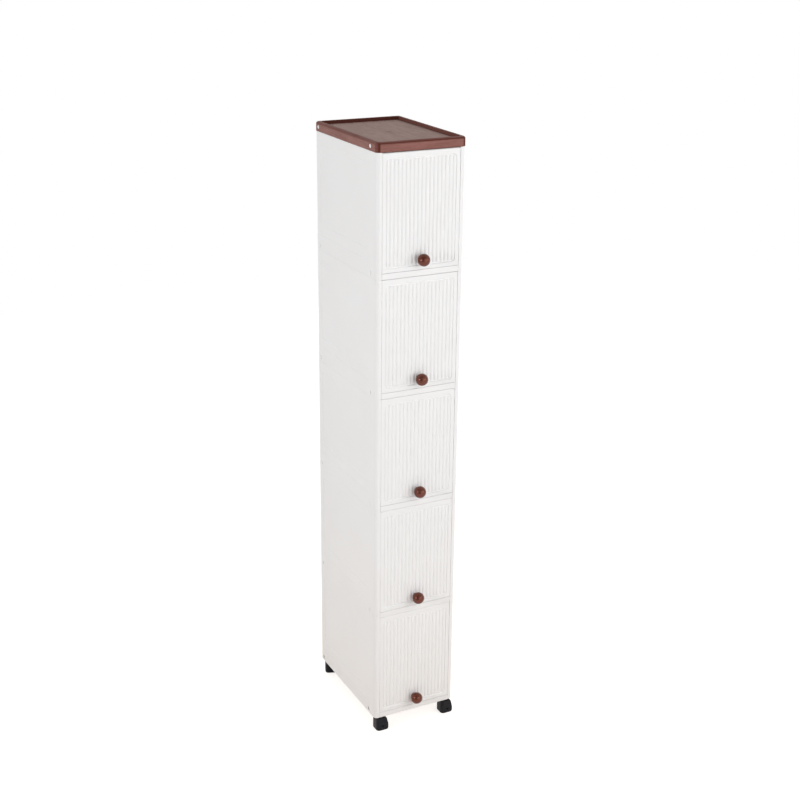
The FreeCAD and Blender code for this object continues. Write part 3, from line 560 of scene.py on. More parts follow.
def rounded(corners, steps=6):
    """Points round a polygon of x, y and radius triples, each corner with a radius an arc."""
    points = []
    for index, (x, y, radius) in enumerate(corners):
        here = Vector((x, y))
        if not radius:
            points.append(here)
            continue
        before = (Vector(corners[index - 1][:2]) - here).normalized()
        after = (Vector(corners[(index + 1) % len(corners)][:2]) - here).normalized()
        half = before.angle(after) / 2
        centre = here + (before + after).normalized() * radius / math.sin(half)
        start = here + before * radius / math.tan(half) - centre
        end = here + after * radius / math.tan(half) - centre
        turn = start.angle(end)
        for step in range(steps + 1):
            share = step / steps
            points.append(centre + (start * math.sin((1 - share) * turn) + end * math.sin(share * turn))
                          / math.sin(turn))
    return points


def rounded_rectangle(left, right, low, high, radius, steps=8):
    """Points round a rectangle; radius is one for all corners, or one each from the lower left on."""
    radii = radius if isinstance(radius, tuple) else (radius,) * 4
    corners = ((left, low), (right, low), (right, high), (left, high))
    return rounded([(*corner, bend) for corner, bend in zip(corners, radii)], steps)


def drawn_in(outline, reach):
    """A counter-clockwise outline moved to its inside."""
    moved = []
    for index, here in enumerate(outline):
        along = (here - outline[index - 1]).normalized()
        onward = (outline[(index + 1) % len(outline)] - here).normalized()
        first = Vector((-along.y, along.x))
        middle = (first + Vector((-onward.y, onward.x))).normalized()
        moved.append(here + middle * reach / max(MITRE, middle.dot(first)))
    return moved


def loft(bm, loops, capped=True):
    """Adds a skin through loops of equal count, capped at both ends or left open; returns its rows."""
    rows = [[bm.verts.new(point) for point in loop] for loop in loops]
    if capped:
        bm.faces.new(rows[0])
        bm.faces.new(rows[-1])
    for low, high in zip(rows, rows[1:]):
        for index in range(len(low)):
            bm.faces.new((low[index - 1], low[index], high[index], high[index - 1]))
    return rows


def quarter(steps):
    """The angles of a quarter turn in even steps."""
    return [math.pi / 2 * step / steps for step in range(steps + 1)]


def soft_ends(low, high, soft, steps=3):
    """Pairs of inset and height that round both ends of a prism."""
    start = [(soft * (1 - math.sin(turn)), low + soft * (1 - math.cos(turn))) for turn in quarter(steps)]
    return start + [(inset, low + high - height) for inset, height in reversed(start)]


def slab(bm, outline, low, high, soft, place=Matrix()):
    """Adds a prism of a counter-clockwise outline between two heights, its end edges rounded."""
    loft(bm, [[place @ Vector((*point, height)) for point in drawn_in(outline, inset)]
              for inset, height in soft_ends(low, high, soft)])


def bar(bm, low, high, soft):
    """Adds a box between two corners with all its edges rounded, the upright ones a little more."""
    plan = rounded_rectangle(low[0], high[0], low[1], high[1], BAR_CORNER * soft, steps=3)
    slab(bm, plan, low[2], high[2], soft)


def rounding(depth, radius):
    """How far a rounded edge falls back, at a depth in from the side."""
    return radius - math.sqrt(radius ** 2 - (radius - depth) ** 2) if depth < radius else 0.0


def put(name, mesh, material, body):
    """Shows a mesh as a finished piece that rides on a body."""
    mesh.name = name
    mesh.materials.clear()
    mesh.materials.append(finish(material))
    piece = bpy.data.objects.new(name, mesh)
    bpy.context.scene.collection.objects.link(piece)
    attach(piece, body)
    return piece


def closed(bm):
    """The mesh of a bmesh whose shells are closed, its faces turned outwards; the bmesh is used up."""
    bmesh.ops.remove_doubles(bm, verts=bm.verts, dist=SAME_PLACE)
    bmesh.ops.recalc_face_normals(bm, faces=bm.faces)
    mesh = bpy.data.meshes.new("shape")
    bm.to_mesh(mesh)
    bm.free()
    return mesh


def meshed(bm):
    """A smooth-shaded mesh of a bmesh whose shells are closed, flat where its large faces are flat."""
    mesh = closed(bm)
    mesh.shade_smooth()
    mesh.set_sharp_from_angle(angle=SHARP)

    def dress(holder):
        even = holder.modifiers.new("Flat faces stay flat", "WEIGHTED_NORMAL")
        even.weight = 100
        even.keep_sharp = True
    return evaluated(mesh, dress)


def evaluated(mesh, dress):
    """A mesh after modifiers, which dress adds to an object that holds it."""
    holder = bpy.data.objects.new("holder", mesh)
    bpy.context.scene.collection.objects.link(holder)
    dress(holder)
    graph = bpy.context.evaluated_depsgraph_get()
    result = bpy.data.meshes.new_from_object(holder.evaluated_get(graph), preserve_all_data_layers=True,
                                             depsgraph=graph)
    bpy.data.objects.remove(holder)
    return result


def bored(bm, cutters):
    """A new bmesh: a closed one less the closed shells of another."""
    whole = closed(bm)
    tool = bpy.data.objects.new("cutters", closed(cutters))
    bpy.context.scene.collection.objects.link(tool)

    def dress(holder):
        bore = holder.modifiers.new("Bores", "BOOLEAN")
        bore.operation = "DIFFERENCE"
        bore.solver = "EXACT"
        bore.object = tool
    result = bmesh.new()
    result.from_mesh(evaluated(whole, dress))
    bpy.data.objects.remove(tool)
    return result


# Pieces

def module_foot(level):
    """The height at which a module starts."""
    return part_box(f"back_panel_{level}")[0].z


def peg_places():
    """Where the pegs stand along the tower's depth."""
    size = looks().panel
    return size.peg_front - size.half_depth, size.half_depth - size.peg_back


def flared_hole(bm, place, radius, start, end, flare):
    """Adds the cutter of a round hole from start to end along Z, wider at its start."""
    lathe(bm, ((0, start - 2 * flare), (radius + 3 * flare, start - 2 * flare), (radius + flare, start),
               (radius, start + flare), (radius, end), (0, end)), place, steps=40)


def sunk_at(y, z):
    """How far a side face is sunk at a place: by its field, and by the moulded line below it."""
    size = looks().panel
    front, back = size.field_front - size.half_depth, size.half_depth - size.field_back
    low, high = size.field_low, size.module - size.field_top
    bend = size.field_round
    past_y = abs(y - (front + back) / 2) - (back - front) / 2 + bend
    past_z = abs(z - (low + high) / 2) - (high - low) / 2 + bend
    outside = math.hypot(max(past_y, 0), max(past_z, 0)) + min(max(past_y, past_z), 0) - bend
    field = size.field_sink * eased(-outside / (FIELD_SLOPE * size.field_sink))
    half_line = line_half()
    line_end = min(y - front, back - y) / half_line
    line = size.line_sink * eased(min(line_end, 2 - abs(z - size.line_height) / half_line))
    return max(field, line)


def line_half():
    """Half the width of the moulded line's floor, and the run of each of its slopes."""
    return LINE_SLOPE * looks().panel.line_sink


def eased(share):
    """A share held between 0 and 1, with a soft start and end."""
    share = max(0.0, min(1.0, share))
    return share * share * (3 - 2 * share)


def fine_steps(start, way, bend):
    """Places close together about a soft edge, then through the corner behind it."""
    steps = 14
    grain = bend / steps
    return [start + way * grain * step for step in range(-1, steps + 4)]


def side_wall(bm):
    """Adds the left wall of a module: pillar, side face with its sunk field, and rear flange."""
    size = looks().panel
    side, deep, wall, soft = size.half_width, size.half_depth, size.wall, size.soft
    bend, arc = CORNER * soft, 8
    plan = rounded((
        (-side, deep, size.rear_round), (-side, -deep, size.corner_round),
        (size.pillar - side, -deep, bend), (size.pillar - side, wall - deep, bend),
        (wall - side, wall - deep, size.corner_round - wall),
        (wall - side, deep - wall, size.rear_round - wall),
        (size.flange - side, deep - wall, bend), (size.flange - side, deep, bend)), arc)
    front, back = size.field_front - deep, deep - size.field_back
    low, high = size.field_low, size.module - size.field_top
    columns = fine_steps(back, -1, size.field_round)
    columns += sorted(fine_steps(front, 1, size.field_round), reverse=True)
    rear_arc = arc + 1
    plan[rear_arc:rear_arc] = [Vector((-side, y)) for y in columns]
    half_line, line_rows = line_half(), 3
    rows = [size.line_height + half_line * row / line_rows
            for row in range(-2 * line_rows - 1, 2 * line_rows + 2)]
    rows += fine_steps(low, 1, size.field_round) + sorted(fine_steps(high, -1, size.field_round))
    ends = soft_ends(0.0, size.module, soft)
    middle = len(ends) // 2
    levels = ends[:middle] + [(0.0, row) for row in rows] + ends[middle:]
    loops = []
    for inset, height in levels:
        loop = [Vector((x, y, height)) for x, y in drawn_in(plan, inset)]
        for spot in loop[rear_arc:rear_arc + len(columns)]:
            spot.x += sunk_at(spot.y, height)
        loops.append(loop)
    loft(bm, loops)


def left_side():
    """A left side panel in module height: wall with peg holes, ribs, ledge, tabs and pegs."""
    size = looks().panel
    door = looks().door
    side, deep, wall, soft = size.half_width, size.half_depth, size.wall, size.soft
    top = size.module
    shell = bmesh.new()
    side_wall(shell)
    holes = bmesh.new()
    for y in peg_places():
        flared_hole(holes, Matrix.Translation((0, y, size.peg_height)) @ TO_RIGHT,
                    size.peg_radius + size.peg_play, -side, 2 * wall - side, soft / 2)
    bm = bored(shell, holes)
    opening = size.pillar - side
    stop_front = door.depth - deep + door.stop_play + door.setback
    rib = size.rib
    ribs_from = size.rail_height + soft
    bar(bm, (opening - wall, wall / 2 - deep, ribs_from), (opening, stop_front + rib, top), soft)
    bar(bm, (opening - wall / 2, stop_front, ribs_from),
        (opening + door.stop_width, stop_front + rib, top - door.stop_drop), soft)
    groove = deep - 2 * wall - soft / 3
    bar(bm, (-side + wall / 2, groove - rib, ribs_from), (size.flange - side, groove, top), soft)
    shelf_under = size.rail_height - wall
    half_tab = size.tab_width / 2
    front_peg, rear_peg = peg_places()
    clear = half_tab + size.ledge_gap
    bar(bm, (-side + wall / 2, front_peg + clear, shelf_under - wall),
        (3 * wall - side, rear_peg - clear, shelf_under), soft)
    inner = wall - side
    tab_outer, tab_foot = inner + size.tab_gap, top - size.tab_root
    less = soft / 4
    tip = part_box("side_left_1")[0].x
    for y in peg_places():
        bar(bm, (inner - wall / 2, y - half_tab + less, tab_foot + less),
            (tab_outer + wall - less, y + half_tab - less, top), soft)
        bar(bm, (tab_outer, y - half_tab, tab_foot),
            (tab_outer + wall, y + half_tab, top + size.tab_rise), soft)
        lathe(bm, ((0, tip), (size.peg_radius - 2 * soft, tip), (size.peg_radius - soft / 2, tip + soft / 2),
                   (size.peg_radius, tip + 2 * soft), (size.peg_radius, inner + wall), (0, inner + wall)),
              Matrix.Translation((0, y, top + size.peg_height)) @ TO_RIGHT, steps=40)
    return bm


def back_mesh(level):
    """A back panel with a sunk field on its outer face."""
    size = looks().panel
    low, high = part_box(f"back_panel_{level}")
    soft = size.soft

    def loop(inset, depth, bend):
        return [Vector((x, depth, z)) for x, z in
                rounded_rectangle(low.x + inset, high.x - inset, low.z + inset, high.z - inset, bend)]

    def field(inset, depth):
        margin = size.back_margin + inset
        return [Vector((x, depth, z)) for x, z in
                rounded_rectangle(low.x + margin, high.x - margin, low.z + size.field_low + inset,
                                  high.z - size.field_top - inset, size.field_round)]
    steps = 4
    loops = []
    for step in range(steps + 1):
        share = 1 - step / steps
        loops.append(field(size.field_sink * FIELD_SLOPE * share, high.y - size.field_sink * eased(share)))
    for inset, depth in reversed(soft_ends(low.y, high.y, soft)):
        loops.append(loop(inset, depth, soft))
    bm = bmesh.new()
    loft(bm, loops)
    return meshed(bm)


def shelf_floor(bm, foot, lip=0.0):
    """Adds a shelf: plate notched round the tabs, with the front rail under it and the rail's lip."""
    size = looks().panel
    side, deep, wall, soft = size.half_width, size.half_depth, size.wall, size.soft
    play = soft / 3
    tab_play = 5 * play
    edge = side - wall - play
    rail = side - size.pillar - play
    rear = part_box("back_panel_1")[0].y - play
    shoulder = wall + play - deep
    notch = edge - wall - tab_play
    half_notch = size.tab_width / 2 + tab_play
    front_peg, rear_peg = peg_places()
    bend = CORNER * soft
    right = [(rail, play - deep, 0), (rail, shoulder, 0), (edge, shoulder, size.corner_round - wall)]
    for y in (front_peg, rear_peg):
        right += [(edge, y - half_notch, bend), (notch, y - half_notch, bend), (notch, y + half_notch, bend),
                  (edge, y + half_notch, 0)]
    right += [(edge, rear, 0)]
    left = [(-x, y, turn) for x, y, turn in reversed(right)]
    slab(bm, rounded(right + left), foot + size.rail_height - wall, foot + size.rail_height, soft)
    bar(bm, (-rail, -deep, foot - lip), (rail, size.rail_thick - deep, foot + size.rail_height), soft)


def shelf_mesh(level):
    """The shelf of a module."""
    bm = bmesh.new()
    shelf_floor(bm, module_foot(level), looks().panel.rail_lip)
    return meshed(bm)


def base_mesh():
    """The lowest floor, with a socket for every caster stem."""
    size = looks().panel
    caster = looks().caster
    bm = bmesh.new()
    foot = module_foot(1)
    shelf_floor(bm, foot)
    soft = size.soft / 2
    outer, bore = caster.boss_radius, caster.stem_radius
    for corner in CORNERS:
        stem = wheel_of(corner)[0]
        lathe(bm, ((bore, 0), (outer - soft, 0), (outer, soft), (outer, size.rail_height - soft),
                   (bore, size.rail_height - soft)), Matrix.Translation((stem.x, stem.y, foot)), ring=True)
    return meshed(bm)


def door_shell(bm, level):
    """Adds a door's shell: recessed front, rounded edges, and the hollow behind."""
    size = looks().door
    low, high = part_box(f"door_{level}")
    front, rear = low.y, high.y
    foot, head = low.z - size.foot_lip, high.z + size.head_lip

    def loop(inset, top_inset, radius, depth_at):
        points = rounded_rectangle(inset - size.half_width, size.half_width - inset, foot + inset,
                                   head - top_inset, radius)
        return [Vector((x, depth_at(x, z), z)) for x, z in points]

    def face(x, z):
        side = max(0.0, min(size.half_width - abs(x), z - foot))
        return front + max(rounding(side, size.side_round), rounding(max(0.0, head - z), size.top_round))

    loops = []
    steps = 7
    lead = size.recess_top - size.recess_side
    for step in range(steps + 1):
        share = step / steps
        inset = size.recess_side + size.recess_slope * (1 - share)
        sunk = front + size.recess_sink * (1 + math.cos(math.pi * share)) / 2
        loops.append(loop(inset, inset + lead, size.recess_round, lambda x, z: sunk))
    for turn in quarter(8):
        inset = size.top_round * (1 - math.sin(turn))
        loops.append(loop(inset, inset, size.side_round, face))

    soft, floor = size.rim / 4, front + size.skin
    for inset, depth in ((0.0, rear - soft), (soft / 3, rear - soft / 3), (soft, rear)):
        loops.append(loop(inset, inset, size.side_round, lambda x, z: depth))
    for inset, depth in ((-soft, rear), (-soft / 3, rear - soft / 3), (0.0, rear - soft),
                         (soft / 2, floor + 2 * soft), (soft, floor + soft / 2), (3 * soft, floor)):
        loops.append(loop(size.rim + inset, size.head + inset, size.rim, lambda x, z: depth))
    loft(bm, loops)


def door_mesh(level):
    """A whole door without its reeds: shell, flat pad under the knob and hinge pins."""
    size = looks().door
    low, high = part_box(f"door_{level}")
    bm = bmesh.new()
    door_shell(bm, level)
    soft = size.recess_sink / 4
    top = size.recess_sink + soft
    lathe(bm, ((0, 0), (size.pad_radius, 0), (size.pad_radius, top - soft),
               (size.pad_radius - soft / 3, top - soft / 3), (size.pad_radius - soft, top), (0, top)),
          Matrix.Translation((0, low.y + top, low.z + looks().knob.height)) @ TO_FRONT)
    for turn, tip in ((TO_RIGHT, high.x), (TO_RIGHT.inverted(), -low.x)):
        place = Matrix.Translation((0, low.y + size.pin_inset, high.z - size.pin_inset)) @ turn
        root = size.half_width - size.rim
        lathe(bm, ((0, root), (size.pin_radius, root), (size.pin_radius, tip - soft),
                   (size.pin_radius - soft, tip), (0, tip)), place, steps=32)
    return meshed(bm)


def reed_rows():
    """Geometry nodes: a row of upright reeds, each a crowned bar with rounded ends."""
    tree = bpy.data.node_groups.new("Reed rows", "GeometryNodeTree")
    tree.interface.new_socket(name="Geometry", in_out="OUTPUT", socket_type="NodeSocketGeometry")
    for label, kind in (("Count", "Int"), ("Pitch", "Float"), ("Width", "Float"), ("Height", "Float"),
                        ("Length", "Float"), ("End", "Float"), ("Foot", "Vector"), ("Finish", "Material")):
        tree.interface.new_socket(name=label, in_out="INPUT", socket_type=f"NodeSocket{kind}")
    source = tree.nodes.new("NodeGroupInput").outputs
    result = tree.nodes.new("NodeGroupOutput").inputs

    sum_of, ramp = partial(maths, tree), partial(spread, tree)
    # Where a rounded end starts on the way from middle to tip, and the share of the width left at the tip.
    ends_from, narrowest = 0.5, 0.02
    # A flat grid from -1 to 1 both ways: across the reed in X, along it in Y.
    grid = add(tree, "GeometryNodeMeshGrid",
               {"Size X": 2.0, "Size Y": 2.0, "Vertices X": 11, "Vertices Y": 17}).outputs["Mesh"]
    spot = add(tree, "ShaderNodeSeparateXYZ", {0: tree.nodes.new("GeometryNodeInputPosition").outputs[0]})
    across = spot.outputs["X"]
    along = spot.outputs["Y"]
    away = sum_of("ABSOLUTE", along)
    # The outer half of the grid's rows makes the rounded ends, a quarter turn each.
    turn = sum_of("MULTIPLY", ramp(away, ends_from, 1.0), math.pi / 2)
    fall = sum_of("COSINE", turn)
    taper = sum_of("MAXIMUM", fall, narrowest)
    straight = sum_of("SUBTRACT", sum_of("MULTIPLY", source["Length"], 0.5), source["End"])
    reach = sum_of("ADD", sum_of("MULTIPLY", ramp(away, 0.0, ends_from), straight),
                   sum_of("MULTIPLY", sum_of("SINE", turn), source["End"]))
    upright = sum_of("MULTIPLY", reach, sum_of("SIGN", along))
    sideways = sum_of("MULTIPLY", sum_of("MULTIPLY", across, sum_of("MULTIPLY", source["Width"], 0.5)), taper)
    crown = sum_of("SUBTRACT", 1.0, sum_of("MULTIPLY", across, across))
    proud = sum_of("MULTIPLY", sum_of("MULTIPLY", crown, source["Height"]), sum_of("MULTIPLY", fall, -1.0))

    def bar(depth):
        place = add(tree, "ShaderNodeCombineXYZ", {"X": sideways, "Y": depth, "Z": upright})
        return add(tree, "GeometryNodeSetPosition",
                   {"Geometry": grid, "Position": place.outputs[0]}).outputs["Geometry"]
    back = add(tree, "GeometryNodeFlipFaces", {"Mesh": bar(0.0)}).outputs["Mesh"]
    both = tree.nodes.new("GeometryNodeJoinGeometry")
    tree.links.new(back, both.inputs[0])
    tree.links.new(bar(proud), both.inputs[0])
    reed = add(tree, "GeometryNodeMergeByDistance", {"Geometry": both.outputs[0], "Distance": SAME_PLACE})

    half_row = sum_of("MULTIPLY", sum_of("MULTIPLY", sum_of("SUBTRACT", source["Count"], 1.0), -0.5),
                      source["Pitch"])
    start = add(tree, "ShaderNodeVectorMath",
                {0: add(tree, "ShaderNodeCombineXYZ", {"X": half_row}).outputs[0], 1: source["Foot"]},
                operation="ADD")
    step = add(tree, "ShaderNodeCombineXYZ", {"X": source["Pitch"]})
    row = add(tree, "GeometryNodeMeshLine",
              {"Count": source["Count"], "Start Location": start.outputs[0], "Offset": step.outputs[0]})
    copies = add(tree, "GeometryNodeInstanceOnPoints",
                 {"Points": row.outputs["Mesh"], "Instance": reed.outputs["Geometry"]})
    real = add(tree, "GeometryNodeRealizeInstances", {"Geometry": copies.outputs["Instances"]})
    painted = add(tree, "GeometryNodeSetMaterial",
                  {"Geometry": real.outputs["Geometry"], "Material": source["Finish"]})
    tree.links.new(painted.outputs["Geometry"], result["Geometry"])
    return tree


def reeds_mesh(tree, level):
    """The reeds of one door."""
    size = looks().door
    low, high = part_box(f"door_{level}")
    recess_half = size.half_width - size.recess_side
    foot, top = low.z + size.recess_low, high.z - size.recess_top
    pitch = 2 * recess_half / size.reed_count
    values = {
        "Count": size.reed_count, "Pitch": pitch, "Width": pitch - size.reed_gap, "Height": size.reed_height,
        "Length": top - foot - 2 * size.reed_margin, "End": size.reed_end,
        "Foot": (0.0, low.y + size.recess_sink, (foot + top) / 2), "Finish": finish("door_white"),
    }

    def dress(holder):
        rows = holder.modifiers.new("Reed rows", "NODES")
        rows.node_group = tree
        for item in tree.interface.items_tree:
            if item.in_out == "INPUT":
                rows[item.identifier] = values[item.name]
    mesh = evaluated(bpy.data.meshes.new("shape"), dress)
    mesh.shade_smooth()
    mesh.set_sharp_from_angle(angle=REED_SHARP)
    return mesh


def knob_mesh(level):
    """A ball knob on its foot."""
    size = looks().knob
    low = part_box(f"door_{level}")[0]
    ball, centre = size.ball_radius, size.ball_centre
    soft = size.foot_thick / 4
    profile = [(0, 0), (size.foot_radius - soft, 0), (size.foot_radius, soft),
               (size.foot_radius, size.foot_thick - soft), (size.foot_radius - soft, size.foot_thick),
               (size.neck_radius + soft, size.foot_thick), (size.neck_radius, size.foot_thick + soft)]
    start = math.asin(size.neck_radius / ball)
    arc_steps = 30
    for step in range(arc_steps):
        turn = start + (math.pi - start) * step / arc_steps
        profile.append((ball * math.sin(turn), centre - ball * math.cos(turn)))
    profile.append((0, centre + ball))
    bm = bmesh.new()
    lathe(bm, profile, Matrix.Translation((0, low.y, low.z + size.height)) @ TO_FRONT, steps=64)
    return meshed(bm)


def lid_mesh():
    """The lid: rim round a sunk tray, skirt over the top module, and the channel for its tabs."""
    size = looks().lid
    panel = looks().panel
    low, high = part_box("lid")
    overhang = high.x - panel.half_width

    def loop(inset, height, bends=None):
        bends = bends or [max(size.soft, bend + overhang - inset)
                          for bend in (panel.corner_round,) * 2 + (panel.rear_round,) * 2]
        return [Vector((x, y, height)) for x, y in
                rounded_rectangle(low.x + inset, high.x - inset, low.y + inset, high.y - inset, tuple(bends),
                                  steps=12)]

    soft, top, floor = size.soft, high.z, high.z - size.tray_depth
    tray = (size.tray_round,) * 4

    def disc(radius, height):
        middle = (low + high) / 2
        return [Vector((middle.x + x, middle.y + y, height)) for x, y in
                rounded_rectangle(-radius, radius, -radius, radius, radius * NEARLY, steps=12)]
    gate = size.gate_radius
    loops = [disc(gate - size.gate_depth, floor - size.gate_depth), disc(gate, floor - size.gate_depth / 3),
             disc(gate + size.gate_depth, floor)]
    turns = quarter(6)
    fillet = 2 * soft
    loops += [loop(size.rim + fillet * (1 - math.sin(turn)), floor + fillet * (1 - math.cos(turn)), tray)
              for turn in turns]
    loops += [loop(size.rim - soft * (1 - math.cos(turn)), top - soft * (1 - math.sin(turn)), tray)
              for turn in turns]
    loops += [loop(size.edge_round * (1 - math.sin(turn)), top - size.edge_round * (1 - math.cos(turn)))
              for turn in turns]
    skirt = overhang + panel.wall
    loops += [loop(soft * (1 - math.cos(turn)), low.z + soft * (1 - math.sin(turn))) for turn in turns]
    loops += [loop(skirt - soft * (1 - math.sin(turn)), low.z + soft * (1 - math.cos(turn)))
              for turn in turns]
    loops += [loop(skirt, top - size.skin)]
    core = (size.tray_round + size.skin,) * 4
    under = floor - size.skin
    loops += [loop(size.rim - size.skin, top - size.skin, core), loop(size.rim - size.skin, under, core)]
    shell = bmesh.new()
    loft(shell, loops)
    holes = bmesh.new()
    for way in (TO_RIGHT, TO_RIGHT.inverted()):
        for y in peg_places():
            flared_hole(holes, Matrix.Translation((0, y, low.z + panel.peg_height)) @ way,
                        panel.peg_radius + panel.peg_play, low.x, low.x + skirt + soft, soft / 2)
    return meshed(bored(shell, holes))


def wheel_of(corner):
    """A caster's stem, its axle's middle, and the turn that it rests at."""
    joints = {joint["name"]: joint for joint in frame["joints"]}
    roll = joints[f"wheel_{corner}_roll"]
    turn = math.atan2(-roll["axis"][0], roll["axis"][1])
    return Vector(joints[f"swivel_{corner}_turn"]["pos_m"]), Vector(roll["pos_m"]), turn


def hood_shell(bm, low, high, place):
    """Adds a hood's block: tapered behind, with a round nose, and one rounded edge all round it."""
    size = looks().caster
    half, nose, bend = size.hood_width / 2, size.nose_round, size.edge_round
    profile = rounded((
        (-size.lead, low, 0), (size.tail, low, size.foot_round),
        (size.tail, size.shoulder, size.shoulder_round), (size.tail_top, high, size.top_round),
        (-size.lead, high, 0)), steps=24)
    back = profile[1:-1]

    def tail_at(height):
        """How far back the hood goes at a height."""
        for first, second in zip(back, back[1:]):
            if height <= second.y:
                share = max(0.0, height - first.y) / (second.y - first.y)
                return first.x + (second.x - first.x) * share
        return back[-1].x

    def half_at(x, height):
        """Half of the hood's width at a place in its profile, past the nose."""
        spot = Vector((x, height))
        depths = []
        for first, second in zip(profile, profile[1:]):
            near, share = intersect_point_line(spot, first, second)
            near = first if share < 0 else second if share > 1 else near
            depths.append((spot - near.xy).length)
        return half - rounding(min(depths), bend)
    ends = soft_ends(low, high, bend, steps=8)
    middle = len(ends) // 2
    steps = 12
    rise = (high - low - 2 * bend) / steps
    levels = ends[:middle] + [(0.0, low + bend + rise * step) for step in range(1, steps)] + ends[middle:]
    turns = quarter(10)
    run = size.top_round + bend / 2
    loops = []
    for inset, height in levels:
        tail = tail_at(height)
        side = [(nose - size.lead - (nose - inset) * math.cos(turn),
                 half - nose + (nose - inset) * math.sin(turn)) for turn in turns]
        backs = [tail - run * (1 - math.cos(turn)) for turn in reversed(turns)]
        side += [(x, half_at(x, height)) for x in backs]
        outline = side[::-1] + [(x, -y) for x, y in side]
        loops.append([place @ Vector((x, y, height)) for x, y in outline])
    rows = loft(bm, loops, capped=False)
    for row in (rows[0], rows[-1]):
        for index in range(len(row) // 2 - 1):
            bm.faces.new((row[index], row[index + 1], row[-2 - index], row[-1 - index]))


def hood_mesh(corner):
    """A caster's hood: its block, open below for the wheel, with eyes for the axle."""
    size = looks().caster
    stem, axle, turn = wheel_of(corner)
    low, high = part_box(f"caster_hood_{corner}")
    at_stem = Matrix.Translation((stem.x, stem.y, 0)) @ Matrix.Rotation(turn, 4, "Z")
    half = size.hood_width / 2
    shell = bmesh.new()
    hood_shell(shell, low.z, high.z, at_stem)
    tread = size.wheel_radius
    slot = size.wheel_width / 2 + size.side_play
    trail = math.hypot(axle.x - stem.x, axle.y - stem.y)
    reach = tread + size.slot_play
    arch = rounded(((trail - reach, -tread, 0), (trail + reach, -tread, 0),
                    (trail + reach, axle.z + reach, reach * NEARLY),
                    (trail - reach, axle.z + reach, reach * NEARLY)), steps=14)
    cutters = bmesh.new()
    slab(cutters, arch, -slot, slot, size.soft, at_stem @ TO_FRONT)
    at_axle = at_stem @ Matrix.Translation((trail, 0, axle.z))
    for way in (TO_FRONT, TO_REAR):
        flared_hole(cutters, at_axle @ way @ Matrix.Scale(-1, 4, (0, 0, 1)),
                    size.eye_radius, -half, size.eye_depth - half, size.soft / 2)
    flared_hole(cutters, at_stem @ Matrix.Translation((0, 0, high.z)) @ UPSIDE_DOWN,
                size.stem_radius + size.stem_play, 0.0, size.stem_depth, size.soft / 2)
    return meshed(bored(shell, cutters))


def wheel_mesh(corner):
    """A caster's wheel: hub, sunk faces and a tread with rounded edges."""
    size = looks().caster
    axle, rest_turn = wheel_of(corner)[1:]
    half, tread, soft = size.wheel_width / 2, size.wheel_radius, size.soft
    web = half - size.web_sink
    rim = tread - size.tread_depth
    face = [(size.axle_radius, half - soft), (size.axle_radius + soft, half), (size.hub_radius - soft, half),
            (size.hub_radius, half - soft), (size.hub_radius, web + soft), (size.hub_radius + soft, web),
            (rim - soft, web), (rim, web + soft), (rim, half - soft), (rim + soft, half)]
    edge = tread - size.tread_round
    face += [(edge + size.tread_round * math.sin(turn), half - size.tread_round * (1 - math.cos(turn)))
             for turn in quarter(6)]
    profile = face + [(radius, -height) for radius, height in reversed(face)]
    bm = bmesh.new()
    place = Matrix.Translation(axle) @ Matrix.Rotation(rest_turn, 4, "Z") @ TO_FRONT
    lathe(bm, profile, place, steps=64, ring=True)
    return meshed(bm)


# Operators

def show(piece, node, mesh, material, body):
    """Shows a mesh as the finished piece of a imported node."""
    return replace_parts(put(f"{node}.{piece}", mesh, material, body), node)


def show_panel(node, mesh):
    """Shows a mesh as a white panel of the cabinet."""
    show("moulded", node, mesh, "panel_white", "cabinet")


def coat(node, material):
    """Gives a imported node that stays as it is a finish."""
    for slot in frame["nodes"][node].material_slots:
        slot.material = finish(material)


class TOWER_OT_side_panels(bpy.types.Operator):
    """Make the side panels: walls with sunk fields, ribs, tabs and pegs"""
    bl_idname = "tower.side_panels"
    bl_label = "Side panels"

    def execute(self, context):
        master = left_side()
        for level in LEVELS:
            for side, flip in (("left", 1), ("right", -1)):
                bm = master.copy()
                rise = Matrix.Translation((0, 0, module_foot(level)))
                bm.transform(rise @ Matrix.Diagonal((flip, 1, 1, 1)))
                show_panel(f"side_{side}_{level}", meshed(bm))
        master.free()
        return {"FINISHED"}


class TOWER_OT_backs_and_shelves(bpy.types.Operator):
    """Make the back panels, the shelves and the base"""
    bl_idname = "tower.backs_and_shelves"
    bl_label = "Backs and shelves"

    def execute(self, context):
        show_panel("base_tray", base_mesh())
        for level in LEVELS:
            show_panel(f"back_panel_{level}", back_mesh(level))
        for level in LEVELS[1:]:
            show_panel(f"shelf_{level}", shelf_mesh(level))
        return {"FINISHED"}


class TOWER_OT_doors(bpy.types.Operator):
    """Make the flip-up doors without their reeds"""
    bl_idname = "tower.doors"
    bl_label = "Doors"

    def execute(self, context):
        for level in LEVELS:
            show("shell", f"door_{level}", door_mesh(level), "door_white", f"door_{level}")
        return {"FINISHED"}


class TOWER_OT_reeds(bpy.types.Operator):
    """Make the reeds on the doors' fronts"""
    bl_idname = "tower.reeds"
    bl_label = "Reeds"

    def execute(self, context):
        tree = reed_rows()
        for level in LEVELS:
            door = f"door_{level}"
            put(f"{door}.reeds", reeds_mesh(tree, level), "door_white", door)
        return {"FINISHED"}


class TOWER_OT_knobs(bpy.types.Operator):
    """Make the ball knobs, and finish their screws"""
    bl_idname = "tower.knobs"
    bl_label = "Knobs"

    def execute(self, context):
        for level in LEVELS:
            show("turned", f"knob_{level}", knob_mesh(level), "knob_brown", f"door_{level}")
            coat(f"knob_screw_{level}", "drawn_steel")
        return {"FINISHED"}


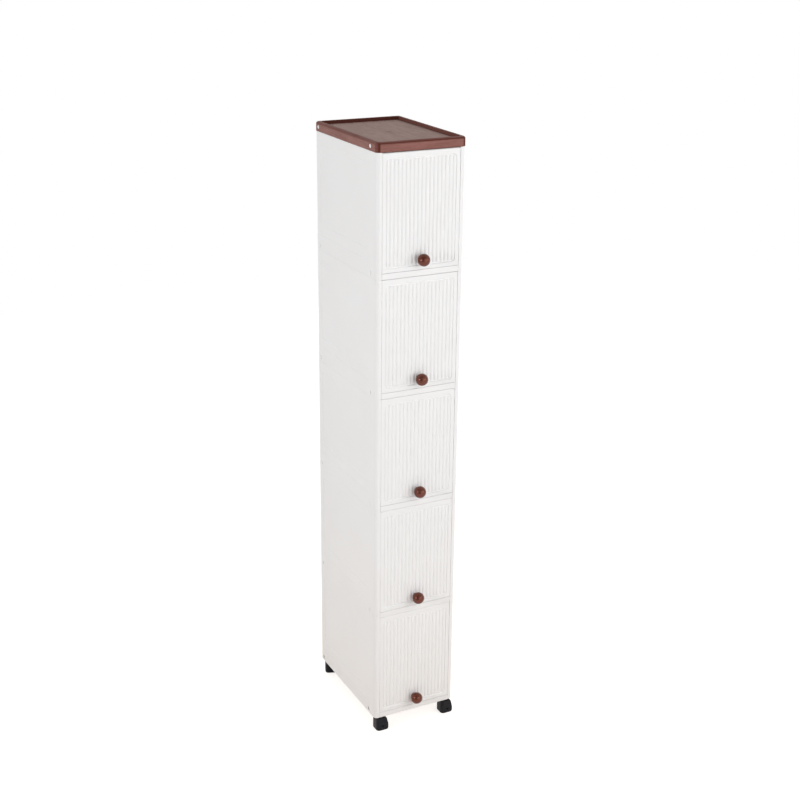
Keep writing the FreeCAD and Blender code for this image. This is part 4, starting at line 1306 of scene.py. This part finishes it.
class TOWER_OT_lid(bpy.types.Operator):
    """Make the tray lid"""
    bl_idname = "tower.lid"
    bl_label = "Lid"

    def execute(self, context):
        show("moulded", "lid", lid_mesh(), "lid_brown", "cabinet")
        return {"FINISHED"}


class TOWER_OT_casters(bpy.types.Operator):
    """Make the hoods and wheels of the casters, and finish their stems and axles"""
    bl_idname = "tower.casters"
    bl_label = "Casters"

    def execute(self, context):
        for corner in CORNERS:
            show("moulded", f"caster_hood_{corner}", hood_mesh(corner), "hood_black", f"swivel_{corner}")
            show("turned", f"caster_wheel_{corner}", wheel_mesh(corner), "wheel_black", f"wheel_{corner}")
            coat(f"caster_stem_{corner}", "drawn_steel")
            coat(f"caster_axle_{corner}", "axle_steel")
        return {"FINISHED"}


class TOWER_OT_stage(bpy.types.Operator):
    """Make the floor, the lamps, the white room and the camera"""
    bl_idname = "tower.stage"
    bl_label = "Stage"

    def execute(self, context):
        settings = looks().stage
        context.scene.view_settings.view_transform = "Standard"
        make_floor(settings)
        make_room(settings)
        make_lamp("Key softbox", settings.key_place, settings.key_size, settings.key_power)
        make_lamp("Fill softbox", settings.fill_place, settings.fill_size, settings.fill_power)
        make_lamp("Glint softbox", settings.glint_place, settings.glint_size, settings.glint_power)
        context.scene.camera = make_camera(settings)
        return {"FINISHED"}


def seen_directly(tree):
    """1 for what the camera, a reflection or a clear piece shows, 0 for what only gives light."""
    rays = tree.nodes.new("ShaderNodeLightPath").outputs
    either = maths(tree, "MAXIMUM", rays["Is Camera Ray"], rays["Is Glossy Ray"])
    return maths(tree, "MAXIMUM", either, rays["Is Transmission Ray"])


def make_floor(settings):
    """A plain floor that shows as white and keeps the tower's shadow."""
    reach, near, far = 3.5, 0.4, 1.4
    mesh = bpy.data.meshes.new("floor")
    mesh.from_pydata([(-reach, -reach, 0), (reach, -reach, 0), (reach, reach, 0), (-reach, reach, 0)], [],
                     [(0, 1, 2, 3)])
    floor = bpy.data.objects.new("floor", mesh)
    bpy.context.scene.collection.objects.link(floor)
    made = bpy.data.materials.new("floor_white")
    made.use_nodes = True
    tree = made.node_tree
    tree.nodes.remove(tree.nodes["Principled BSDF"])
    spot = add(tree, "ShaderNodeTexCoord").outputs["Object"]
    away = add(tree, "ShaderNodeVectorMath", {0: spot}, operation="LENGTH").outputs["Value"]
    shade = mixed(tree, spread(tree, away, near, far), settings.floor, settings.floor_far)
    matt = add(tree, "ShaderNodeBsdfDiffuse", {"Color": shade})
    lift = maths(tree, "MULTIPLY", seen_directly(tree), settings.floor_light)
    glow = add(tree, "ShaderNodeEmission", {"Strength": lift})
    both = add(tree, "ShaderNodeAddShader", {0: matt.outputs[0], 1: glow.outputs[0]})
    tree.links.new(both.outputs[0], tree.nodes["Material Output"].inputs["Surface"])
    mesh.materials.append(made)


def make_room(settings):
    """White light from all round, weaker from the camera's side, before a white backdrop."""
    world = bpy.data.worlds.new("white_room")
    bpy.context.scene.world = world
    world.use_nodes = True
    tree = world.node_tree
    way = tree.nodes.new("ShaderNodeTexCoord").outputs["Generated"]
    back = camera_axes(settings)[2]
    facing = add(tree, "ShaderNodeVectorMath", {0: way, 1: back}, operation="DOT_PRODUCT")
    away = maths(tree, "MAXIMUM", seen_directly(tree), settings.room_light)
    room = add(tree, "ShaderNodeMapRange",
               {"Value": facing.outputs["Value"], "From Min": 0.05, "From Max": 0.85,
                "To Min": away, "To Max": settings.room_dark}, interpolation_type="SMOOTHSTEP")
    rays = tree.nodes.new("ShaderNodeLightPath").outputs
    shown = maths(tree, "MAXIMUM", rays["Is Camera Ray"], room.outputs["Result"])
    fill(tree, tree.nodes["Background"], {"Color": (1.0, 1.0, 1.0, 1.0), "Strength": shown})


def make_lamp(name, place, size, power):
    """A square softbox that faces the tower's middle."""
    data = bpy.data.lights.new(name, "AREA")
    data.size = size
    data.energy = power
    lamp = bpy.data.objects.new(name, data)
    lamp.location = place
    middle = (CAD_BOX[0] + CAD_BOX[1]) / 2
    lamp.rotation_euler = (middle - lamp.location).to_track_quat("-Z", "Y").to_euler()
    bpy.context.scene.collection.objects.link(lamp)


def camera_axes(settings):
    """The camera's right, up and backward directions."""
    turn, rise, roll = settings.azimuth, settings.elevation, settings.roll
    back = Vector((math.sin(turn) * math.cos(rise), -math.cos(turn) * math.cos(rise), math.sin(rise)))
    right = Vector((math.cos(turn), math.sin(turn), 0))
    up = back.cross(right)
    return (right * math.cos(roll) + up * math.sin(roll), up * math.cos(roll) - right * math.sin(roll), back)


def make_camera(settings):
    """The camera at the photograph's place."""
    data = bpy.data.cameras.new("camera")
    data.lens = settings.lens
    data.sensor_width = 36.0
    camera = bpy.data.objects.new("camera", data)
    bpy.context.scene.collection.objects.link(camera)
    turn = Matrix(camera_axes(settings)).transposed().to_4x4()
    camera.matrix_world = Matrix.Translation(settings.camera_place) @ turn
    return camera


PIECES = (TOWER_OT_side_panels, TOWER_OT_backs_and_shelves, TOWER_OT_doors, TOWER_OT_reeds, TOWER_OT_knobs,
          TOWER_OT_lid, TOWER_OT_casters, TOWER_OT_stage)


class TOWER_PT_looks(bpy.types.Panel):
    """The tower's pieces, in the order in which they are made"""
    bl_idname = "TOWER_PT_looks"
    bl_label = "Storage tower"
    bl_space_type = "VIEW_3D"
    bl_region_type = "UI"
    bl_category = "Tower"

    def draw(self, context):
        for piece in PIECES:
            self.layout.operator(piece.bl_idname)


CLASSES = (DoorSizes, KnobSizes, PanelSizes, LidSizes, CasterSizes, FinishColours, StageSettings, TowerLooks,
           *PIECES, TOWER_PT_looks)


def register():
    for cls in CLASSES:
        bpy.utils.register_class(cls)
    bpy.types.Scene.tower_looks = PointerProperty(type=TowerLooks)


def unregister():
    del bpy.types.Scene.tower_looks
    for cls in reversed(CLASSES):
        bpy.utils.unregister_class(cls)


def main():
    register()
    for piece in PIECES:
        space, name = piece.bl_idname.split(".")
        getattr(getattr(bpy.ops, space), name)()


if __name__ == "__main__":
    main()
